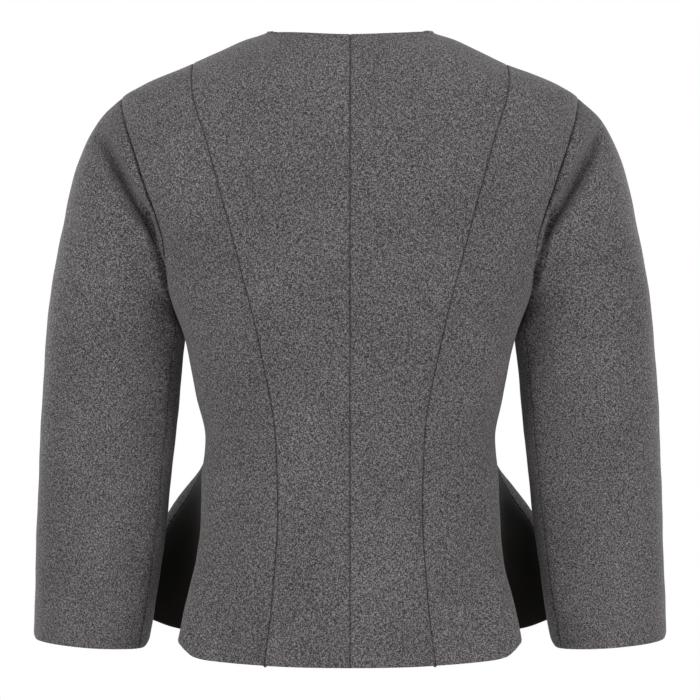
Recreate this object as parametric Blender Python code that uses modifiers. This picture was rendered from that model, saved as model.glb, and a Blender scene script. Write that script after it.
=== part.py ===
"""Collarless fitted jacket in its worn form: princess-seamed back, flared hips and bracelet sleeves.

Metres, +Z up, +Y to the wearer's back, +X to the wearer's left. The origin is midway between the two
neck points of the shoulder seams, where the wearer's shoulders carry the jacket.
"""

import math
from collections import namedtuple

import bmesh
import bpy
import numpy as np
from mathutils import Vector

# Cloth and seams
CLOTH = 0.002
SEAM_GAP = 0.0004
SHOULDER_GAP = 0.0008
SLEEVE_SEAM_GAP = 0.0018
SLEEVE_LENGTH_GAP = 0.0010
INSET_GAP = 0.0006
ARMHOLE_GAP = 0.0022

# Neck and shoulder line
NECK_HALF_WIDTH = 0.0722
BACK_NECK_DROP = 0.0129
BACK_NECK_CURVE = 0.9
FRONT_NECK_DROP = 0.092
SHOULDER_PANEL_SEAM_Z = -0.030
SHOULDER_END_Z = -0.0580

# Armhole, an upright oval seen from the side
UNDERARM_Z = -0.235
UNDERARM_Y = 0.015
ARMHOLE_BACK_REACH = 0.052
ARMHOLE_FRONT_REACH = 0.050
FRONT_NOTCH = math.radians(-112)

# Hips: where round the front half the hip ridge stands, and the back corner of the skirt
RIDGE_TURN = 0.36
RIDGE_FORWARD = 0.15
BACK_CORNER_TURN = 0.34

# Centre front: the right front laps over the left one
LAP = 0.020
LAP_STEP_STARTS = 0.040
LAP_STEP_ENDS = 0.024
LAP_GAP = 0.0006

# Buttons, on the centre front line
BUTTON_RADIUS = 0.010
BUTTON_THICKNESS = 0.0036
BUTTON_EDGE = 0.0009
BUTTON_SHANK = 0.0026
BUTTON_TOP_Z = -0.122
BUTTON_PITCH = 0.078
BUTTON_COUNT = 4

# Sleeve seams, as turns from the outer edge of the sleeve: positive to the back
ELBOW_SEAM = math.radians(149)
FOREARM_SEAM = math.radians(-118)
ARMHOLE_BLEND = 0.22
FOLD_CLEAR = 0.06
UNDERARM_STAND = 0.0014

# Mesh steps: the same rows run up both sides of a seam, to the armhole and then on to the shoulder, where
# they close up as the cloth turns over it
ARMHOLE_SHARE = 0.66
SEAM_ROW_SHARES = np.linspace(0, 1, 15)
PANEL_ROW_SHARES = (*SEAM_ROW_SHARES * ARMHOLE_SHARE, 0.72, 0.78, 0.84, 0.9, 0.95, 0.982, 0.998, 1.0)
RIDGE_COLUMNS = (0.025, 0.06, 0.1, 0.15)
INSET_ROW = 7
SLEEVE_ROW_SHARES = (*np.linspace(0, 0.42, 13), *np.linspace(0.5, 1.0, 8))
SLEEVE_FRONT_COLUMNS = 9
SLEEVE_BACK_COLUMNS = 13
SLEEVE_UNDER_COLUMNS = 8
SLEEVE_BACK_STARTS = math.radians(30)
SECTION_STEPS = 240

# The upper sleeve, one piece of cloth, is solid in four lengths: the rows at which each begins and ends
SleeveLength = namedtuple("SleeveLength", "name first_row last_row")
SLEEVE_LENGTHS = (
    SleeveLength("head", 0, 8),
    SleeveLength("arm", 8, 13),
    SleeveLength("elbow", 13, 17),
    SleeveLength("cuff", 17, 20),
)

# Level sections of the body, from the neck points down to the hem. half_width is taken at the side seam,
# side_y is the seam's depth, back_y and front_y are the centre lines, and the last two columns square the
# corners of each half: 2 is an ellipse.
Section = namedtuple("Section", "z half_width side_y back_y front_y back_square front_square")
SECTIONS = (
    Section(0.000, 0.0722, 0.000, 0.062, -0.055, 2.0, 2.0),
    Section(-0.030, 0.1365, 0.000, 0.079, -0.076, 2.0, 2.0),
    Section(-0.050, 0.1838, 0.000, 0.087, -0.089, 2.1, 2.0),
    Section(-0.062, 0.2010, 0.000, 0.091, -0.096, 2.2, 2.0),
    Section(-0.085, 0.2050, 0.001, 0.097, -0.107, 2.3, 2.1),
    Section(-0.144, 0.1890, 0.008, 0.104, -0.130, 2.6, 2.3),
    Section(-0.193, 0.1690, 0.013, 0.105, -0.142, 2.6, 2.4),
    Section(-0.235, 0.1562, 0.015, 0.102, -0.145, 2.5, 2.4),
    Section(-0.272, 0.1440, 0.012, 0.097, -0.139, 2.4, 2.3),
    Section(-0.320, 0.1345, 0.006, 0.089, -0.121, 2.3, 2.2),
    Section(-0.360, 0.1272, 0.000, 0.085, -0.108, 2.3, 2.2),
    Section(-0.390, 0.1300, -0.002, 0.089, -0.111, 2.3, 2.2),
    Section(-0.430, 0.1305, -0.004, 0.097, -0.124, 2.3, 2.2),
    Section(-0.480, 0.1310, -0.005, 0.107, -0.138, 2.4, 2.2),
    Section(-0.560, 0.1330, -0.006, 0.117, -0.150, 2.5, 2.2),
)

# Flare of the skirt below the waist: how far the front hip ridge and the back corner stand out
Flare = namedtuple("Flare", "z ridge back_corner")
FLARES = (
    Flare(-0.360, 0.000, 0.000),
    Flare(-0.387, 0.017, 0.004),
    Flare(-0.405, 0.034, 0.005),
    Flare(-0.424, 0.0495, 0.006),
    Flare(-0.460, 0.069, 0.011),
    Flare(-0.500, 0.081, 0.0215),
    Flare(-0.560, 0.087, 0.0340),
)

# Back princess seam: distance from the centre back seam at each height
SeamRow = namedtuple("SeamRow", "z x")
BACK_PRINCESS = (
    SeamRow(-0.030, 0.1365),
    SeamRow(-0.058, 0.1345),
    SeamRow(-0.103, 0.1215),
    SeamRow(-0.192, 0.0970),
    SeamRow(-0.277, 0.0760),
    SeamRow(-0.357, 0.0628),
    SeamRow(-0.417, 0.0608),
    SeamRow(-0.487, 0.0650),
    SeamRow(-0.560, 0.0735),
)

# Front panel seam: its turn from the side seam (0) to the centre front (1) at each height below the armhole
TurnRow = namedtuple("TurnRow", "z turn")
FRONT_PANEL_SEAM = (
    TurnRow(-0.215, 0.43),
    TurnRow(-0.260, 0.39),
    TurnRow(-0.320, 0.25),
    TurnRow(-0.355, 0.165),
    TurnRow(-0.385, 0.150),
    TurnRow(-0.410, 0.175),
    TurnRow(-0.435, 0.220),
    TurnRow(-0.470, 0.245),
    TurnRow(-0.560, 0.255),
)

# Hem height against the share of each half's girth, from its centre line (0) to the side seam (1)
HemRow = namedtuple("HemRow", "share back_z front_z")
HEM = (
    HemRow(0.00, -0.5433, -0.5320),
    HemRow(0.35, -0.5430, -0.5280),
    HemRow(0.64, -0.5398, -0.5210),
    HemRow(0.76, -0.5298, -0.5275),
    HemRow(0.84, -0.5303, -0.5315),
    HemRow(1.00, -0.5340, -0.5340),
)

# Sleeve rings from the armhole to the cuff: the outer and inner points of each, its half depth and centre
Ring = namedtuple("Ring", "along out_x out_z in_x in_z half_depth centre_y")
RINGS = (
    Ring(0.00, 0.2000, -0.0580, 0.1562, -0.2350, 0.0510, 0.008),
    Ring(0.08, 0.2215, -0.0800, 0.1566, -0.2400, 0.0545, 0.003),
    Ring(0.18, 0.2400, -0.1180, 0.1546, -0.2460, 0.0570, -0.003),
    Ring(0.30, 0.2537, -0.1730, 0.1512, -0.2550, 0.0580, -0.008),
    Ring(0.42, 0.2638, -0.2280, 0.1466, -0.2680, 0.0575, -0.011),
    Ring(0.54, 0.2700, -0.2850, 0.1487, -0.2950, 0.0560, -0.013),
    Ring(0.68, 0.2745, -0.3600, 0.1550, -0.3620, 0.0530, -0.014),
    Ring(0.84, 0.2776, -0.4480, 0.1650, -0.4520, 0.0490, -0.014),
    Ring(1.00, 0.2800, -0.5350, 0.1785, -0.5430, 0.0450, -0.014),
)

# Drag folds in the back of the sleeve, seen from behind: a soft trough from one point to another
Fold = namedtuple("Fold", "start_x start_z end_x end_z depth width")
SLEEVE_FOLDS = (Fold(0.2190, -0.0860, 0.1720, -0.1690, 0.013, 0.0090),)

WOOL_GREY = (0.112, 0.104, 0.106, 1.0)
LINING_BLACK = (0.014, 0.013, 0.011, 1.0)
BUTTON_GREY = (0.030, 0.028, 0.028, 1.0)


def smooth_curve(knots, values):
    """The monotone cubic through the values at rising knots, level past both ends."""
    knots, values = np.asarray(knots, float), np.asarray(values, float)
    step = np.diff(knots)
    rise = np.diff(values) / step
    slope = np.concatenate(([rise[0]], np.zeros(len(rise) - 1), [rise[-1]]))
    for i in range(1, len(rise)):
        if rise[i - 1] * rise[i] > 0:
            before, after = step[i] * 2 + step[i - 1], step[i] + step[i - 1] * 2
            slope[i] = (before + after) / (before / rise[i - 1] + after / rise[i])

    def curve(at):
        at = np.clip(at, knots[0], knots[-1])
        i = np.clip(np.searchsorted(knots, at) - 1, 0, len(step) - 1)
        t = (at - knots[i]) / step[i]
        lift = (3 - 2 * t) * t * t
        ends = values[i] * (1 - lift) + values[i + 1] * lift
        return ends + step[i] * t * (1 - t) * (slope[i] * (1 - t) - slope[i + 1] * t)

    return curve


def column_curves(rows, key):
    """A curve for each column of a table, against its key column."""
    rows = sorted(rows, key=lambda row: getattr(row, key))
    knots = [getattr(row, key) for row in rows]
    fields = [field for field in rows[0]._fields if field != key]
    return {field: smooth_curve(knots, [getattr(row, field) for row in rows]) for field in fields}


BODY = column_curves(SECTIONS, "z")
FLARE = column_curves(FLARES, "z")
PRINCESS_X = column_curves(BACK_PRINCESS, "z")["x"]
PANEL_SEAM_TURN = column_curves(FRONT_PANEL_SEAM, "z")["turn"]
HEM_Z = column_curves(HEM, "share")
RING = column_curves(RINGS, "along")


def bell(turn, peak):
    """A smooth hump of height 1 at the peak, from 0 at the side seam (turn 0) to 0 at twice the peak."""
    return np.sin(np.pi * np.clip(turn / (2 * peak), 0, 1)) ** 2


def section(half, z):
    """One half's level section, from its centre line to the side seam: x, y and the length along the cloth."""
    angle = np.linspace(0, np.pi / 2, SECTION_STEPS)
    power = 2 / BODY[half + "_square"](z)
    side_y = BODY["side_y"](z)
    x = BODY["half_width"](z) * np.sin(angle) ** power
    y = side_y + (BODY[half + "_y"](z) - side_y) * np.cos(angle) ** power
    turn = 1 - angle / (np.pi / 2)
    if half == "back":
        x = x + FLARE["back_corner"](z) * bell(turn, BACK_CORNER_TURN)
    else:
        ridge = FLARE["ridge"](z) * bell(turn, RIDGE_TURN)
        x, y = x + ridge, y - ridge * RIDGE_FORWARD
    length = np.concatenate(([0], np.cumsum(np.hypot(np.diff(x), np.diff(y)))))
    return x, y, length


def point_on(half, along, z):
    """The body's point at a length along the cloth from one half's centre line. Past it, x is negative."""
    x, y, length = section(half, z)
    reach = abs(along)
    return np.array((math.copysign(np.interp(reach, length, x), along), np.interp(reach, length, y), z))


def girth(half, z):
    """Length along the cloth from one half's centre line to the side seam or the shoulder seam."""
    return section(half, z)[2][-1]


def along_at_x(half, x, z):
    """Length along the cloth to where one half first reaches a distance from the centre plane."""
    xs, _, length = section(half, z)
    first = max(int(np.argmax(xs >= x)), 1) if xs.max() >= x else len(xs) - 1
    return np.interp(x, xs[first - 1 : first + 1], length[first - 1 : first + 1])


def along_at_y(half, y, z):
    """Length along the cloth to where one half's upper section has a depth of y."""
    _, ys, length = section(half, z)
    order = np.argsort(ys)
    return np.interp(y, ys[order], length[order])


def along_at_turn(turn, z):
    """Length along the front from its centre line to a turn, 0 at the side seam and 1 at the centre."""
    length = section("front", z)[2]
    return np.interp(1 - turn, np.linspace(0, 1, SECTION_STEPS), length)


def outward(half, along, z):
    """Unit normal of the body surface, out of the jacket."""
    reach = 0.002
    across = point_on(half, along + reach, z) - point_on(half, along - reach, z)
    upward = point_on(half, along, z + reach) - point_on(half, along, z - reach)
    normal = np.cross(upward, across) if half == "back" else np.cross(across, upward)
    return normal / np.linalg.norm(normal)


def armhole_side(turn):
    """Depth and height of the armhole at a turn from the shoulder end: positive turns go down the back."""
    middle = (SHOULDER_END_Z + UNDERARM_Z) / 2
    z = middle + (SHOULDER_END_Z - middle) * math.cos(turn)
    reach = ARMHOLE_BACK_REACH if turn > 0 else ARMHOLE_FRONT_REACH
    y = UNDERARM_Y * (1 - math.cos(turn)) / 2 + reach * math.sin(turn)
    return y, z


def armhole_edge(turn):
    """The armhole on the flat cloth: (length along its half, height)."""
    y, z = armhole_side(turn)
    half = "back" if turn > 0 else "front"
    return np.array((along_at_y(half, y, z), z))


def armhole_point(turn):
    """The armhole on the body surface."""
    half = "back" if turn > 0 else "front"
    return point_on(half, *armhole_edge(turn))


def shoulder_edge(half, z):
    """The shoulder seam on one half's flat cloth."""
    return np.array((girth(half, z), z))


def back_neck_edge(share):
    """The back neckline, from the centre back (0) to the neck point (1)."""
    turn = share * math.pi / 2
    z = -BACK_NECK_DROP * max(0.0, math.cos(turn)) ** BACK_NECK_CURVE
    return np.array((along_at_x("back", NECK_HALF_WIDTH * math.sin(turn), z), z))


def front_neck_z(x):
    """Height of the front neckline at a distance from the centre plane: a quarter oval."""
    return -FRONT_NECK_DROP * math.sqrt(max(0.0, 1 - (x / NECK_HALF_WIDTH) ** 2))


def front_neck_edge(share):
    """The front neckline, from the neck point (0) to where the lap step starts (1)."""
    start, end = 0.0, math.acos(LAP_STEP_STARTS / NECK_HALF_WIDTH)
    x = NECK_HALF_WIDTH * math.cos(start + (end - start) * share)
    z = front_neck_z(x)
    return np.array((along_at_x("front", x, z), z))


def hem_edge(half, along_at):
    """The hem at one seam: the seam's length along the cloth and the hem's height where they meet."""
    z = HEM_Z[half + "_z"](0.5)
    for _ in range(6):
        along = along_at(z)
        z = float(HEM_Z[half + "_z"](abs(along) / girth(half, z)))
    return np.array((along, z))


def hem_between(half, start, end):
    """The hem from one seam to the next."""

    def edge(share):
        along, z = start * (1 - share) + end * share
        return np.array((along, float(HEM_Z[half + "_z"](along / girth(half, z)))))

    return edge


def seam_between(along_at, bottom_z, top_z):
    """A seam that is known at each height, from the hem up."""

    def edge(share):
        z = bottom_z + (top_z - bottom_z) * share
        return np.array((along_at(z), z))

    return edge


def chain(*stretches):
    """One edge from several stretches: (share at which it ends, edge over 0 to 1)."""

    def edge(share):
        begin = 0.0
        for end, stretch in stretches:
            if share <= end + 1e-9:
                return stretch((share - begin) / (end - begin))
            begin = end
        raise ValueError(share)

    return edge


def cut_piece(left, right, bottom, top, columns, rows=PANEL_ROW_SHARES):
    """Flat points of a pattern piece, filled in between its four edges, as [column][row]."""
    corners = [[bottom(0.0), top(0.0)], [bottom(1.0), top(1.0)]]
    piece = []
    for u in columns:
        column = []
        for v in rows:
            ruled = (1 - u) * left(v) + u * right(v) + (1 - v) * bottom(u) + v * top(u)
            low = (1 - u) * corners[0][0] + u * corners[1][0]
            high = (1 - u) * corners[0][1] + u * corners[1][1]
            column.append(ruled - (1 - v) * low - v * high)
        piece.append(column)
    return piece


def on_body(half, piece):
    """A flat pattern piece laid on the body, for the wearer's left side."""
    return np.array([[point_on(half, along, z) for along, z in column] for column in piece])


def princess_along(z):
    """Back princess seam: length along the cloth from the centre back."""
    return along_at_x("back", float(PRINCESS_X(z)), z)


def panel_seam_along(z):
    """Front panel seam: length along the cloth from the centre front, meeting the armhole at its notch."""
    notch_along, notch_z = armhole_edge(FRONT_NOTCH)
    top = FRONT_PANEL_SEAM[0]
    if z <= top.z:
        return along_at_turn(float(PANEL_SEAM_TURN(z)), z)
    share = (z - top.z) / (notch_z - top.z)
    ease = share * share
    return along_at_turn(top.turn, z) * (1 - ease) + notch_along * ease


def centre_back():
    """Centre back panel: neckline and inner shoulder at its top."""
    start = hem_edge("back", lambda z: 0.0)
    end = hem_edge("back", princess_along)
    shoulder = lambda share: shoulder_edge("back", SHOULDER_PANEL_SEAM_Z * share)
    piece = cut_piece(
        seam_between(lambda z: 0.0, start[1], -BACK_NECK_DROP),
        seam_between(princess_along, end[1], SHOULDER_PANEL_SEAM_Z),
        hem_between("back", start, end),
        chain((0.5, back_neck_edge), (1.0, shoulder)),
        columns=np.linspace(0, 1, 7),
    )
    return on_body("back", piece)


def side_back():
    """Side back panel: the side seam and the back of the armhole along its outer edge."""
    start = hem_edge("back", princess_along)
    end = hem_edge("back", lambda z: girth("back", z))
    fall = SHOULDER_END_Z - SHOULDER_PANEL_SEAM_Z
    side_seam = seam_between(lambda z: girth("back", z), end[1], UNDERARM_Z)
    armhole = lambda share: armhole_edge(max(math.pi * (1 - share), 1e-4))
    piece = cut_piece(
        seam_between(princess_along, start[1], SHOULDER_PANEL_SEAM_Z),
        chain((ARMHOLE_SHARE, side_seam), (1.0, armhole)),
        hem_between("back", start, end),
        lambda share: shoulder_edge("back", SHOULDER_PANEL_SEAM_Z + fall * share),
        columns=np.linspace(0, 1, 10),
    )
    return on_body("back", piece)


def side_front():
    """Side front and the hip inset below it, from the side seam round to the hip ridge, up to the armhole."""
    start = hem_edge("front", lambda z: girth("front", z))
    end = hem_edge("front", panel_seam_along)
    notch_z = armhole_edge(FRONT_NOTCH)[1]
    armhole = lambda share: armhole_edge(-math.pi + (FRONT_NOTCH + math.pi) * share)
    piece = cut_piece(
        seam_between(lambda z: girth("front", z), start[1], UNDERARM_Z),
        seam_between(panel_seam_along, end[1], notch_z),
        hem_between("front", start, end),
        armhole,
        columns=np.linspace(0, 1, 9),
        rows=SEAM_ROW_SHARES,
    )
    return on_body("front", piece)


def front(lap_under):
    """Front with its lap past the centre line. The under lap steps in beneath the other front."""
    start = hem_edge("front", panel_seam_along)
    end = hem_edge("front", lambda z: LAP_STEP_STARTS)
    panel_seam = seam_between(panel_seam_along, start[1], armhole_edge(FRONT_NOTCH)[1])
    armhole = lambda share: armhole_edge(min(FRONT_NOTCH * (1 - share), -1e-4))
    shoulder = lambda share: shoulder_edge("front", SHOULDER_END_Z * (1 - share))
    top = chain((0.6, shoulder), (1.0, front_neck_edge))
    piece = cut_piece(
        chain((ARMHOLE_SHARE, panel_seam), (1.0, armhole)),
        seam_between(lambda z: LAP_STEP_STARTS, end[1], top(1.0)[1]),
        hem_between("front", start, end),
        top,
        columns=(0.0, *RIDGE_COLUMNS, *np.linspace(0.21, 0.6, 5), 0.74, 0.87, 1.0),
    )
    points = [on_body("front", piece)]
    step_middle = (LAP_STEP_STARTS + LAP_STEP_ENDS) / 2
    step_in = CLOTH + LAP_GAP if lap_under else 0.0
    for along, share in ((step_middle, 0.5), (LAP_STEP_ENDS, 1.0), (0.0, 1.0), (-LAP, 1.0)):
        hem_z = float(HEM_Z["front_z"](abs(along) / girth("front", end[1])))
        rows = [hem_z + (front_neck_z(abs(along)) - hem_z) * v for v in PANEL_ROW_SHARES]
        column = [point_on("front", along, z) - step_in * share * outward("front", along, z) for z in rows]
        points.append(np.array([column]))
    return np.concatenate(points)


def ring_point(turn, along):
    """A point of the sleeve tube: the turn runs round it from its outer edge, positive to the back."""
    out = np.array((RING["out_x"](along), RING["out_z"](along)))
    inner = np.array((RING["in_x"](along), RING["in_z"](along)))
    x, z = (out + inner) / 2 + (out - inner) / 2 * math.cos(turn)
    return np.array((x, RING["centre_y"](along) + RING["half_depth"](along) * math.sin(turn), z))


def fold_depth(point, turn):
    """How far the drag folds press in a point at the back of the sleeve."""
    pressed = 0.0
    for fold in SLEEVE_FOLDS:
        start, end = np.array((fold.start_x, fold.start_z)), np.array((fold.end_x, fold.end_z))
        along = np.dot(point[[0, 2]] - start, end - start) / np.dot(end - start, end - start)
        aside = np.linalg.norm(point[[0, 2]] - start - along * (end - start))
        fade = math.exp(-((max(0.0, -along) / 0.15) ** 2) - (max(0.0, along - 1) / 0.2) ** 2)
        pressed += fold.depth * fade * math.exp(-((aside / fold.width) ** 2))
    return pressed * max(0.0, math.sin(turn)) ** 0.5


def sleeve_point(turn, along):
    """The sleeve surface: it leaves the armhole seam and turns into the tube."""
    point = ring_point(turn, along)
    seam = math.atan2(math.sin(turn), math.cos(turn))
    left_over = max(0.0, 1 - along / ARMHOLE_BLEND) ** 2
    start = armhole_point(seam if seam else 1e-4)
    start[0] += UNDERARM_STAND * (1 - math.cos(turn)) / 2
    point = point + (start - ring_point(turn, 0.0)) * left_over
    point[1] -= fold_depth(point, seam) * min(1.0, along / FOLD_CLEAR)
    return point


def sleeve_piece(turns):
    """A stretch of the sleeve between two seams, from the armhole to the cuff."""
    return np.array([[sleeve_point(turn, along) for along in SLEEVE_ROW_SHARES] for turn in turns])


def drawn_in(points, edges):
    """The piece with some edges drawn in along the cloth, to leave the gap of a seam."""
    points = points.copy()
    for edge, gap in edges.items():
        rim, inner = {
            "left": (np.s_[0, :], np.s_[1, :]),
            "right": (np.s_[-1, :], np.s_[-2, :]),
            "bottom": (np.s_[:, 0], np.s_[:, 1]),
            "top": (np.s_[:, -1], np.s_[:, -2]),
        }[edge]
        inward = points[inner] - points[rim]
        points[rim] += inward * (gap / np.linalg.norm(inward, axis=-1))[..., None]
    return points


def material(name, colour, roughness):
    made = bpy.data.materials.new(name)
    made.use_nodes = True
    shader = made.node_tree.nodes["Principled BSDF"]
    shader.inputs["Base Color"].default_value = colour
    shader.inputs["Roughness"].default_value = roughness
    shader.inputs["Metallic"].default_value = 0.0
    return made


def cloth(name, points, finish, collection, centre):
    """A cloth wall: the outer surface through a grid of points, thickened inwards from it."""
    columns, rows = points.shape[0] - 1, points.shape[1] - 1
    grid = bmesh.new()
    bmesh.ops.create_grid(grid, x_segments=columns, y_segments=rows, size=0.5)
    for vertex in grid.verts:
        i, j = round((vertex.co.x + 0.5) * columns), round((vertex.co.y + 0.5) * rows)
        vertex.co = points[i, j]
    grid.normal_update()
    outside = sum(face.normal.dot(face.calc_center_median() - Vector(centre)) for face in grid.faces)
    if outside < 0:
        bmesh.ops.reverse_faces(grid, faces=grid.faces)
    mesh = bpy.data.meshes.new(name)
    grid.to_mesh(mesh)
    grid.free()
    mesh.shade_smooth()
    piece = bpy.data.objects.new(name, mesh)
    piece.data.materials.append(finish)
    wall = piece.modifiers.new("wall", "SOLIDIFY")
    wall.thickness = CLOTH
    wall.offset = -1
    wall.use_even_offset = False
    collection.objects.link(piece)
    return piece


def both_sides(name, points, finish, collection, centre):
    """The left piece and its mirror image on the right."""
    mirror = np.array((-1, 1, 1))
    cloth(name + "_left", points, finish, collection, centre)
    cloth(name + "_right", points * mirror, finish, collection, np.array(centre) * mirror)


def button(name, z, finish, collection):
    """A plain round button that stands off the lapped front by the length of its thread shank."""
    normal = Vector(outward("front", 0.0, z))
    disc = bmesh.new()
    bmesh.ops.create_cone(
        disc,
        cap_ends=True,
        segments=20,
        radius1=BUTTON_RADIUS,
        radius2=BUTTON_RADIUS,
        depth=BUTTON_THICKNESS,
    )
    mesh = bpy.data.meshes.new(name)
    disc.to_mesh(mesh)
    disc.free()
    piece = bpy.data.objects.new(name, mesh)
    piece.data.materials.append(finish)
    stand_off = BUTTON_SHANK + BUTTON_THICKNESS / 2
    piece.location = Vector(point_on("front", 0.0, z)) + normal * stand_off
    piece.rotation_euler = normal.to_track_quat("Z", "Y").to_euler()
    edge = piece.modifiers.new("edge", "BEVEL")
    edge.width = BUTTON_EDGE
    edge.segments = 1
    collection.objects.link(piece)


def main():
    for item in list(bpy.data.objects):
        bpy.data.objects.remove(item)
    jacket = bpy.data.collections.new("jacket")
    bpy.context.scene.collection.children.link(jacket)
    wool = material("wool", WOOL_GREY, 0.9)
    lining = material("lining", LINING_BLACK, 0.6)
    horn = material("button", BUTTON_GREY, 0.4)
    half_gap = SEAM_GAP / 2
    torso = (0.0, 0.0, (SHOULDER_END_Z + HEM[0].back_z) / 2)

    back = drawn_in(centre_back(), {"left": half_gap, "right": half_gap, "top": SHOULDER_GAP / 2})
    both_sides("back_centre", back, wool, jacket, torso)
    back = drawn_in(side_back(), {"left": half_gap, "right": half_gap, "top": SHOULDER_GAP / 2})
    both_sides("back_side", back, wool, jacket, torso)
    side = drawn_in(side_front(), {"left": half_gap, "right": half_gap, "top": SHOULDER_GAP / 2})
    both_sides("front_side", drawn_in(side[:, INSET_ROW:], {"bottom": half_gap}), wool, jacket, torso)
    inset = drawn_in(side[:, : INSET_ROW + 1], {"top": half_gap, "right": INSET_GAP})
    both_sides("hip_inset", inset, lining, jacket, torso)
    mirror = np.array((-1, 1, 1))
    for name, lap_under, turned in (("front_left", True, 1), ("front_right", False, mirror)):
        piece = drawn_in(front(lap_under), {"left": half_gap, "top": SHOULDER_GAP / 2})
        cloth(name, piece * turned, wool, jacket, torso)

    arm = ((RINGS[0].out_x + RINGS[0].in_x) / 2, RINGS[-1].centre_y, RINGS[4].out_z)
    seams = {"left": SLEEVE_SEAM_GAP / 2, "right": SLEEVE_SEAM_GAP / 2, "bottom": ARMHOLE_GAP}
    front_turns = np.linspace(FOREARM_SEAM, SLEEVE_BACK_STARTS, SLEEVE_FRONT_COLUMNS + 1)
    back_turns = np.linspace(SLEEVE_BACK_STARTS, ELBOW_SEAM, SLEEVE_BACK_COLUMNS + 1)
    upper = drawn_in(sleeve_piece((*front_turns, *back_turns[1:])), seams)
    for length in SLEEVE_LENGTHS:
        part = upper[:, length.first_row : length.last_row + 1]
        part = drawn_in(part, {"bottom": SLEEVE_LENGTH_GAP / 2, "top": SLEEVE_LENGTH_GAP / 2})
        both_sides("sleeve_upper_" + length.name, part, wool, jacket, arm)
    under_turns = np.linspace(ELBOW_SEAM, FOREARM_SEAM + 2 * math.pi, SLEEVE_UNDER_COLUMNS + 1)
    under = drawn_in(sleeve_piece(under_turns), seams)
    both_sides("sleeve_under", under, wool, jacket, arm)

    for place in range(BUTTON_COUNT):
        button(f"button_{place + 1}", BUTTON_TOP_Z - BUTTON_PITCH * place, horn, jacket)


main()
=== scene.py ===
"""Looks of a collarless fitted wool jacket in its worn form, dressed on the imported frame.

Metres, +Z up, +Y to the wearer's back, +X to the wearer's left. The origin is midway between the two
neck points of the shoulder seams.
"""

import logging
import math
from collections.abc import Callable, Sequence
from dataclasses import dataclass, fields
from enum import Enum
from functools import partial

import bmesh
import bpy
import numpy as np
from mathutils import Matrix, Vector


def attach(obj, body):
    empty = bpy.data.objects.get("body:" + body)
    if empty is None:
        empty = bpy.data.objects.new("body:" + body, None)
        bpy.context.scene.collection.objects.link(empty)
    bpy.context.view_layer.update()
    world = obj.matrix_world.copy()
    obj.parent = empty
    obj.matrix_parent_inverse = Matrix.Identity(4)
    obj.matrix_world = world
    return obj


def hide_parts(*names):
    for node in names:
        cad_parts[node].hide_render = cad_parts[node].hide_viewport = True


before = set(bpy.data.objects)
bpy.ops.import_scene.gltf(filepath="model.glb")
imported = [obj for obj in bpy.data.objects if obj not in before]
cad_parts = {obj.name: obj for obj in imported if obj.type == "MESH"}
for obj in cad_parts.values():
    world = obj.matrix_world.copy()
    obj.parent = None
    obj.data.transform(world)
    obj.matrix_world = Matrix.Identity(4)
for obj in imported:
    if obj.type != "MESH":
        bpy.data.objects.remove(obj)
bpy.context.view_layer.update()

ROOT = "root"
TINY = 1e-4
NO_LENGTH = 1e-15
MILLIMETRES = 1000

# Columns of a cloth grid: place, outward normal, place on the flat cloth, and painted shade of the seams
PLACE = slice(0, 3)
NORMAL = slice(3, 6)
GRAIN = slice(6, 8)
SEAM = 8

# Steps of a grid that close up towards an edge, the gap from there to the even steps, and rows at a hem
EDGE_STEPS = (0.0, 1.0, 2.2, 4.0, 7.0)
EDGE_GAP = 1.6
HEM_STEPS = (0.0008, 0.002, 0.0042)

# Where most values of a noise lie, and all that a texture can have
NOISE_RANGE = (0.3, 0.7)
WHOLE_RANGE = (0.0, 1.0)

log = logging.getLogger("jacket")

Edge = Callable[[np.ndarray], np.ndarray]
Pair = tuple[float, float]
Spot = tuple[float, float, float]
Colour = tuple[float, float, float, float]
Socket = bpy.types.NodeSocket
Material = bpy.types.Material
Piece = bpy.types.Object


class Half(Enum):
    """The two halves of the body, parted by the side and shoulder seams."""

    BACK = "back"
    FRONT = "front"

    @property
    def sign(self) -> int:
        """Which way along Y the half faces."""
        return 1 if self is Half.BACK else -1


class Side(Enum):
    """The wearer's sides."""

    LEFT = "left"
    RIGHT = "right"

    @property
    def mirror(self) -> np.ndarray:
        """Factors that turn a left piece into one for this side."""
        return np.array((1.0 if self is Side.LEFT else -1.0, 1.0, 1.0))


class Slot(Enum):
    """The material slots of the jacket."""

    # Painted shade: the near-black finish of the hip insets stands in for the hip recess's deep shadow
    WOOL = "wool"
    LINING = "lining"
    BUTTON = "button"


class Mark(Enum):
    """What a place on a level section is found by: distance from the centre plane, or depth."""

    X = 0
    Y = 1


class Border(Enum):
    """The four edges of a cut piece: the grid's axis that each ends, and whether it is at its start."""

    LEFT = (0, True)
    RIGHT = (0, False)
    BOTTOM = (1, True)
    TOP = (1, False)

    def __init__(self, axis: int, first: bool) -> None:
        """Keep the axis and the end."""
        self.axis, self.first = axis, first


class Rim(Enum):
    """How an edge of a cloth piece is made: depth and width of its roll, and what is turned in."""

    SEAM = (0.0011, 0.0006, 0.0060)
    ARMHOLE = (0.0016, 0.0013, 0.0080)
    FOLDED = (0.0009, 0.0014, 0.0012)

    def __init__(self, depth: float, reach: float, allowance: float) -> None:
        """Keep the sizes."""
        self.depth, self.reach, self.allowance = depth, reach, allowance


@dataclass(frozen=True)
class Section:
    """A level section of the body: side seam, centre lines and how square each half's corner is."""

    z: float
    half_width: float
    side_y: float
    back_y: float
    front_y: float
    back_square: float
    front_square: float


@dataclass(frozen=True)
class Flare:
    """How far the front hip ridge and the back corner of the skirt stand out at a height."""

    z: float
    ridge: float
    back_corner: float


@dataclass(frozen=True)
class SeamRow:
    """Distance of a seam from the centre back at a height."""

    z: float
    x: float


@dataclass(frozen=True)
class TurnRow:
    """Turn of a seam from the side seam (0) to the centre front (1) at a height."""

    z: float
    turn: float


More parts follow.
